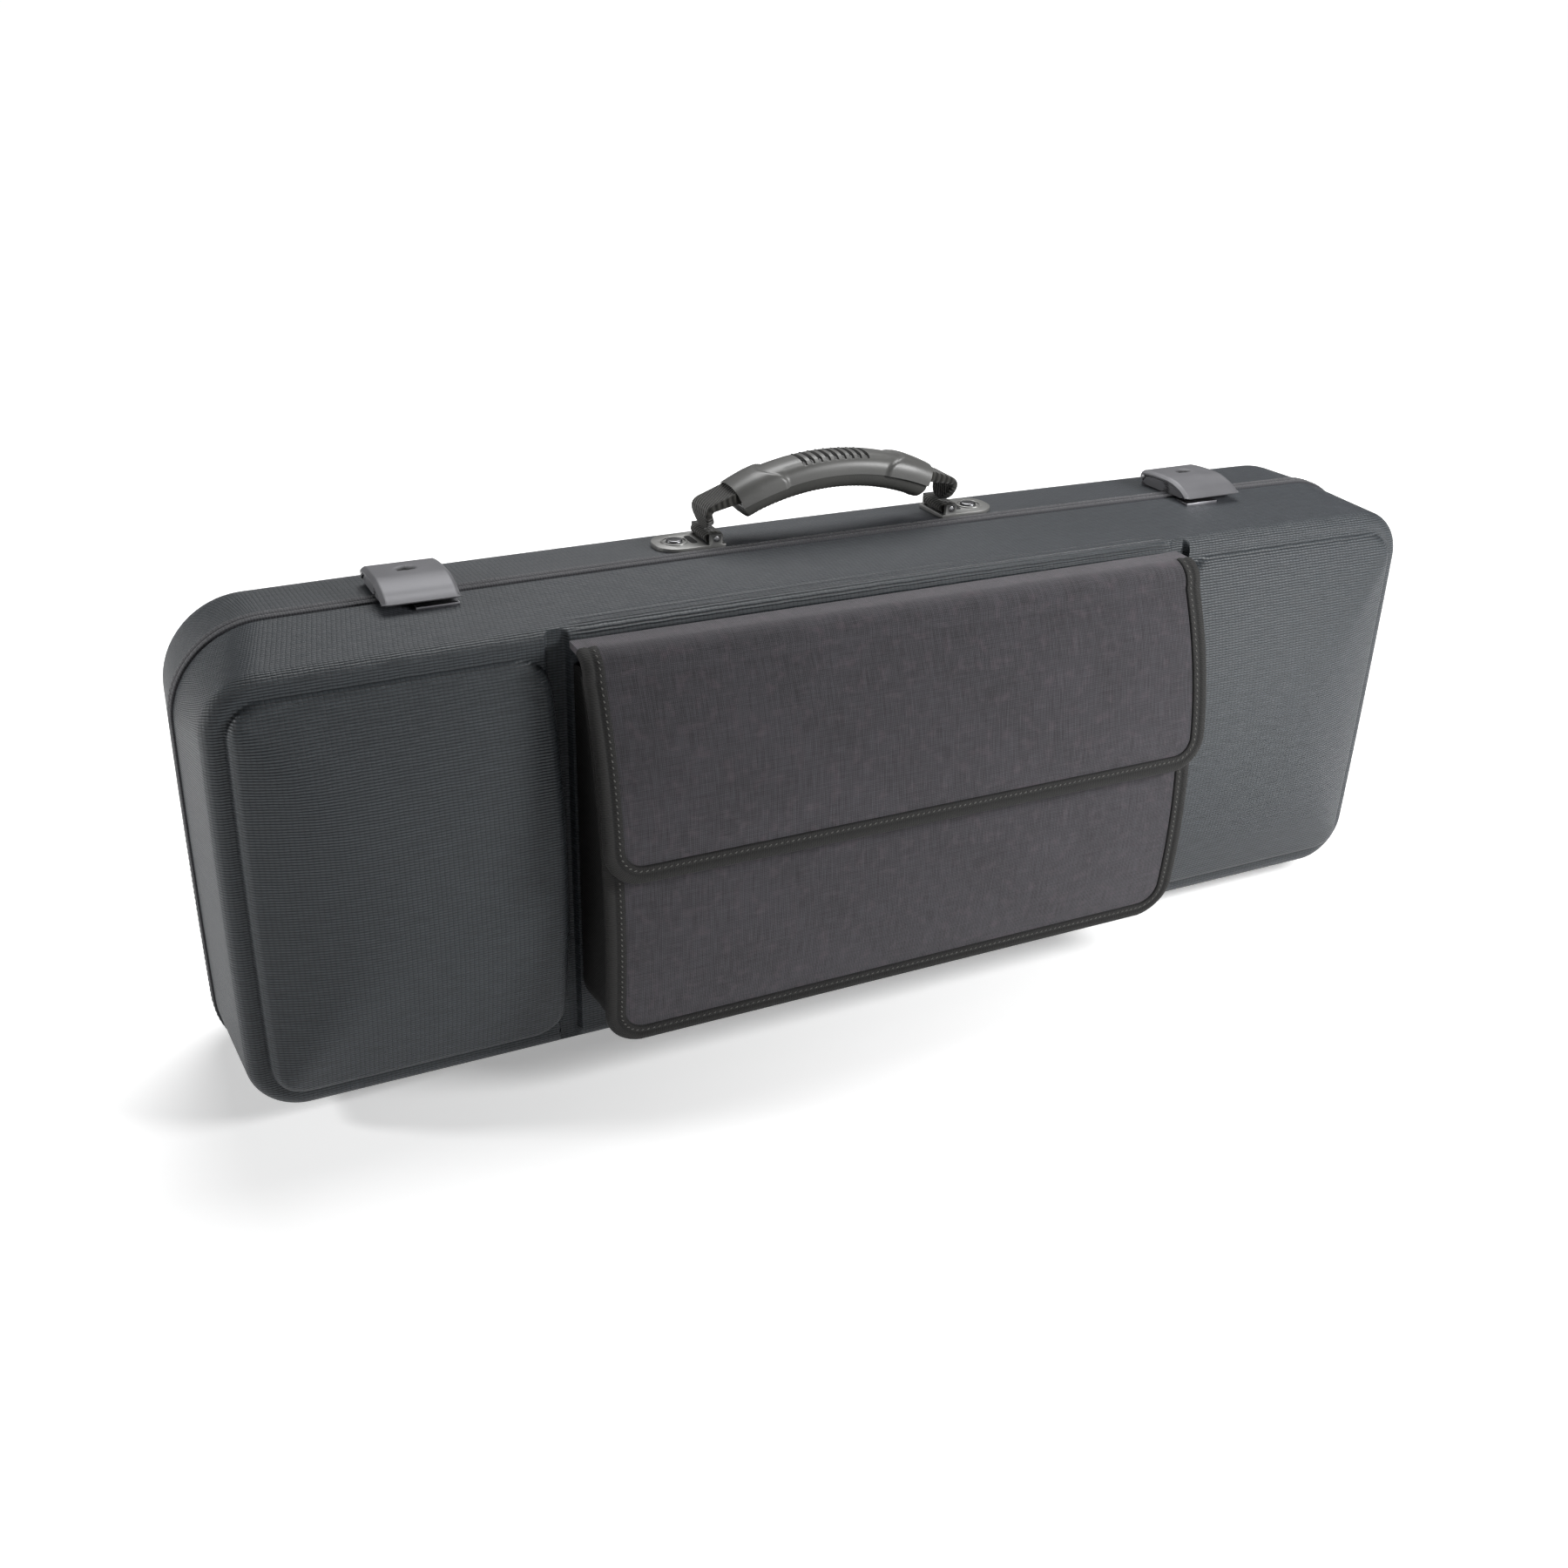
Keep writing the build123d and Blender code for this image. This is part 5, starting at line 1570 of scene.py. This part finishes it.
liningPiece("baseLining", 1, "base_lining", 3 * mm, 22 * mm, 17 * mm, "base")
liningPiece("lidLining", -1, "lid_lining", 7 * mm, 5 * mm, 3 * mm, "lid")
cushioned("violin_bed", "violinBed", "bedVelour", 3 * mm, 3, "foam", "base")
cushioned("body_pads", "bodyPads", "bedVelour", 1.6 * mm, 5, "foam", "base")
cushioned("neck_cradle", "neckCradle", "bedVelour", 1.2 * mm, 4, "foam", "base")
cushioned("lid_foam_cores", "lidFoamCores", "foam", 3 * mm, 2, "foam", "lid", underPanel)
cushioned("bow_sleeves", "bowSleeves", "velour", 0.9 * mm, 3, "velour", "lid")
print("padding made")


# A short ribbon of webbing that lies flat in x and z
def ribbon(name, node, upright, body):
    low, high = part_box(node)
    size = high - low
    x, z = np.meshgrid(np.linspace(low.x, high.x, 24), np.linspace(low.z, high.z, 40))
    along, across = (z, x) if upright else (x, z)
    edge = np.minimum(np.minimum(x - low.x, high.x - x), np.minimum(z - low.z, high.z - z))
    wave = 0.15 * size.y * np.sin(along * 190) * np.clip(edge / (6 * mm), 0, 1)
    middle = (low.y + high.y) / 2 + wave
    half = size.y * 0.3 * (0.45 + 0.55 * np.clip(edge / (0.6 * mm), 0, 1))
    near, far = (np.stack([x, middle + side * half, z], -1) for side in (-1, 1))
    skin = Skin()
    skin.slab(near, far, np.stack([along, across], -1))
    piece = placed(skin.piece(name, "webbing", 60), body, "webbing", node)


ribbon("neckStrap", "neck_strap", True, "base")
ribbon("boxPullTab", "accessory_pull_tab", False, "box_lid")

# Hard pieces keep the CAD shape with eased edges: node, name, finish, edge, slot, body
hardPieces = [
    ("accessory_box", "accessoryBox", "velour", 1.2 * mm, "velour", "base"),
    ("accessory_lid", "boxLid", "velour", 1.2 * mm, "velour", "box_lid"),
    ("handle_brackets", "handleBrackets", "bracketMetal", 0.45 * mm, "bracket_metal", "base"),
    ("bracket_rivets", "bracketRivets", "rivetMetal", 0.25 * mm, "steel", "base"),
    ("handle_bars", "handleBars", "steel", 0.2 * mm, "steel", "base"),
    ("latch_bases", "latchBases", "latchBase", 0.4 * mm, "latch_body", "base"),
    ("latch_pins", "latchPins", "steel", 0.15 * mm, "steel", "base"),
    ("keeper_plates", "keeperPlates", "keeperMetal", 0.3 * mm, "keeper_metal", "lid"),
    ("hinge_base_leaves", "hingeBaseLeaves", "darkMetal", 0.25 * mm, "dark_metal", "base"),
    ("hinge_lid_leaves", "hingeLidLeaves", "darkMetal", 0.25 * mm, "dark_metal", "lid"),
    ("hinge_pins", "hingePins", "steel", 0.2 * mm, "steel", "base"),
    ("base_feet", "baseFeet", "footRubber", 0.5 * mm, "foot_rubber", "base"),
    ("lid_feet", "lidFeet", "footRubber", 0.5 * mm, "foot_rubber", "lid"),
    ("bow_holder_bases", "bowHolderBases", "holderPlastic", 0.5 * mm, "holder_plastic", "lid"),
    ("lower_bow_spinner", "lowerBowSpinner", "holderPlastic", 0.5 * mm, "holder_plastic", "lower_spinner"),
    ("upper_bow_spinner", "upperBowSpinner", "holderPlastic", 0.5 * mm, "holder_plastic", "upper_spinner"),
]
changes = {
    "accessory_box": {"segments": 3},
    "accessory_lid": {"segments": 3},
    "keeper_plates": {"fitted": keeperEdge},
    "handle_brackets": {"marked": bracketShade},
}
for hardPiece in hardPieces:
    softened(*hardPiece, **changes.get(hardPiece[0], {}))
print("hard pieces made")


# Pale floor that glows faintly far out, where the lamps do not reach
studio = {
    "reach": 60.0,
    "glowFrom": 0.6,
    "glowTo": 2.6,
    "glowNear": 0.34,
    "glowFar": 0.98,
    "worldStrength": 0.035,
}


def backdrop():
    v = studio
    floor = bpy.data.meshes.new("floor")
    corners = [(x * v["reach"], y * v["reach"], 0) for x, y in ((-1, -1), (1, -1), (1, 1), (-1, 1))]
    floor.from_pydata(corners, [], [(0, 1, 2, 3)])
    f = Finish("floorPaper")
    x, y, _ = f.parts(f.place())
    away = ((x * x + y * y) ** 0.5 - v["glowFrom"]) / (v["glowTo"] - v["glowFrom"])
    glow = f.blend(away.clear(), *((v[key], v[key], v[key], 1) for key in ("glowNear", "glowFar")))
    floor.materials.append(f.done(shade(246, 246, 246), 0.9, specular=0.1, glow=glow, glowStrength=1.0))
    linked("floor", floor)


lamps = {
    "overhead": {"place": (0.35, 0.85, 2.1), "aim": (0, 0, 0.1), "size": 1.6, "power": 50},
    "rightFront": {"place": (0.62, -0.62, 0.6), "aim": (0.15, 0, 0.12), "size": 0.4, "power": 10.6},
    "leftBack": {"place": (-2.0, 0.58, 0.8), "aim": (-0.3, 0, 0.15), "size": 0.3, "power": 19},
}


def lighting():
    world = bpy.data.worlds.new("studio")
    bpy.context.scene.world = world
    world.use_nodes = True
    tree = world.node_tree
    # The room looks white, though it gives little light
    sky, room = tree.nodes["Background"], tree.nodes.new("ShaderNodeBackground")
    for background in (sky, room):
        background.inputs["Color"].default_value = (1, 1, 1, 1)
    sky.inputs["Strength"].default_value = studio["worldStrength"]
    blend = tree.nodes.new("ShaderNodeMixShader")
    for slot, node in enumerate((tree.nodes.new("ShaderNodeLightPath"), sky, room)):
        tree.links.new(node.outputs[0], blend.inputs[slot])
    tree.links.new(blend.outputs[0], tree.nodes["World Output"].inputs["Surface"])
    for name, v in lamps.items():
        lamp = bpy.data.lights.new(name, "AREA")
        lamp.shape = "DISK"
        lamp.size = v["size"]
        lamp.energy = v["power"]
        piece = linked(name, lamp)
        piece.location = v["place"]
        piece.rotation_mode = "QUATERNION"
        piece.rotation_quaternion = (Vector(v["aim"]) - Vector(v["place"])).to_track_quat("-Z", "Y")
    bpy.context.scene.view_settings.view_transform = "Standard"


camera = {
    "place": (-459.2 * mm, seamY - 847 * mm, bottomZ + 592.5 * mm),
    "azimuth": -25.62,
    "elevation": 26.87,
    "roll": 1.32,
    "lens": 38.09,
    "shiftX": 0.0169,
    "shiftY": 0.0027,
}


def viewpoint():
    v = camera
    turn, rise, roll = (math.radians(v[key]) for key in ("azimuth", "elevation", "roll"))
    back = Vector((math.sin(turn) * math.cos(rise), -math.cos(turn) * math.cos(rise), math.sin(rise)))
    right = Vector((0, 0, 1)).cross(back).normalized()
    up = back.cross(right)
    across = right * math.cos(roll) + up * math.sin(roll)
    upward = up * math.cos(roll) - right * math.sin(roll)
    lens = bpy.data.cameras.new("camera")
    lens.lens = v["lens"]
    lens.sensor_width = 36
    lens.shift_x, lens.shift_y = v["shiftX"], v["shiftY"]
    piece = linked("camera", lens)
    piece.matrix_world = Matrix.Translation(v["place"]) @ Matrix((across, upward, back)).transposed().to_4x4()
    bpy.context.scene.camera = piece


backdrop()
lighting()
viewpoint()
print("studio made")
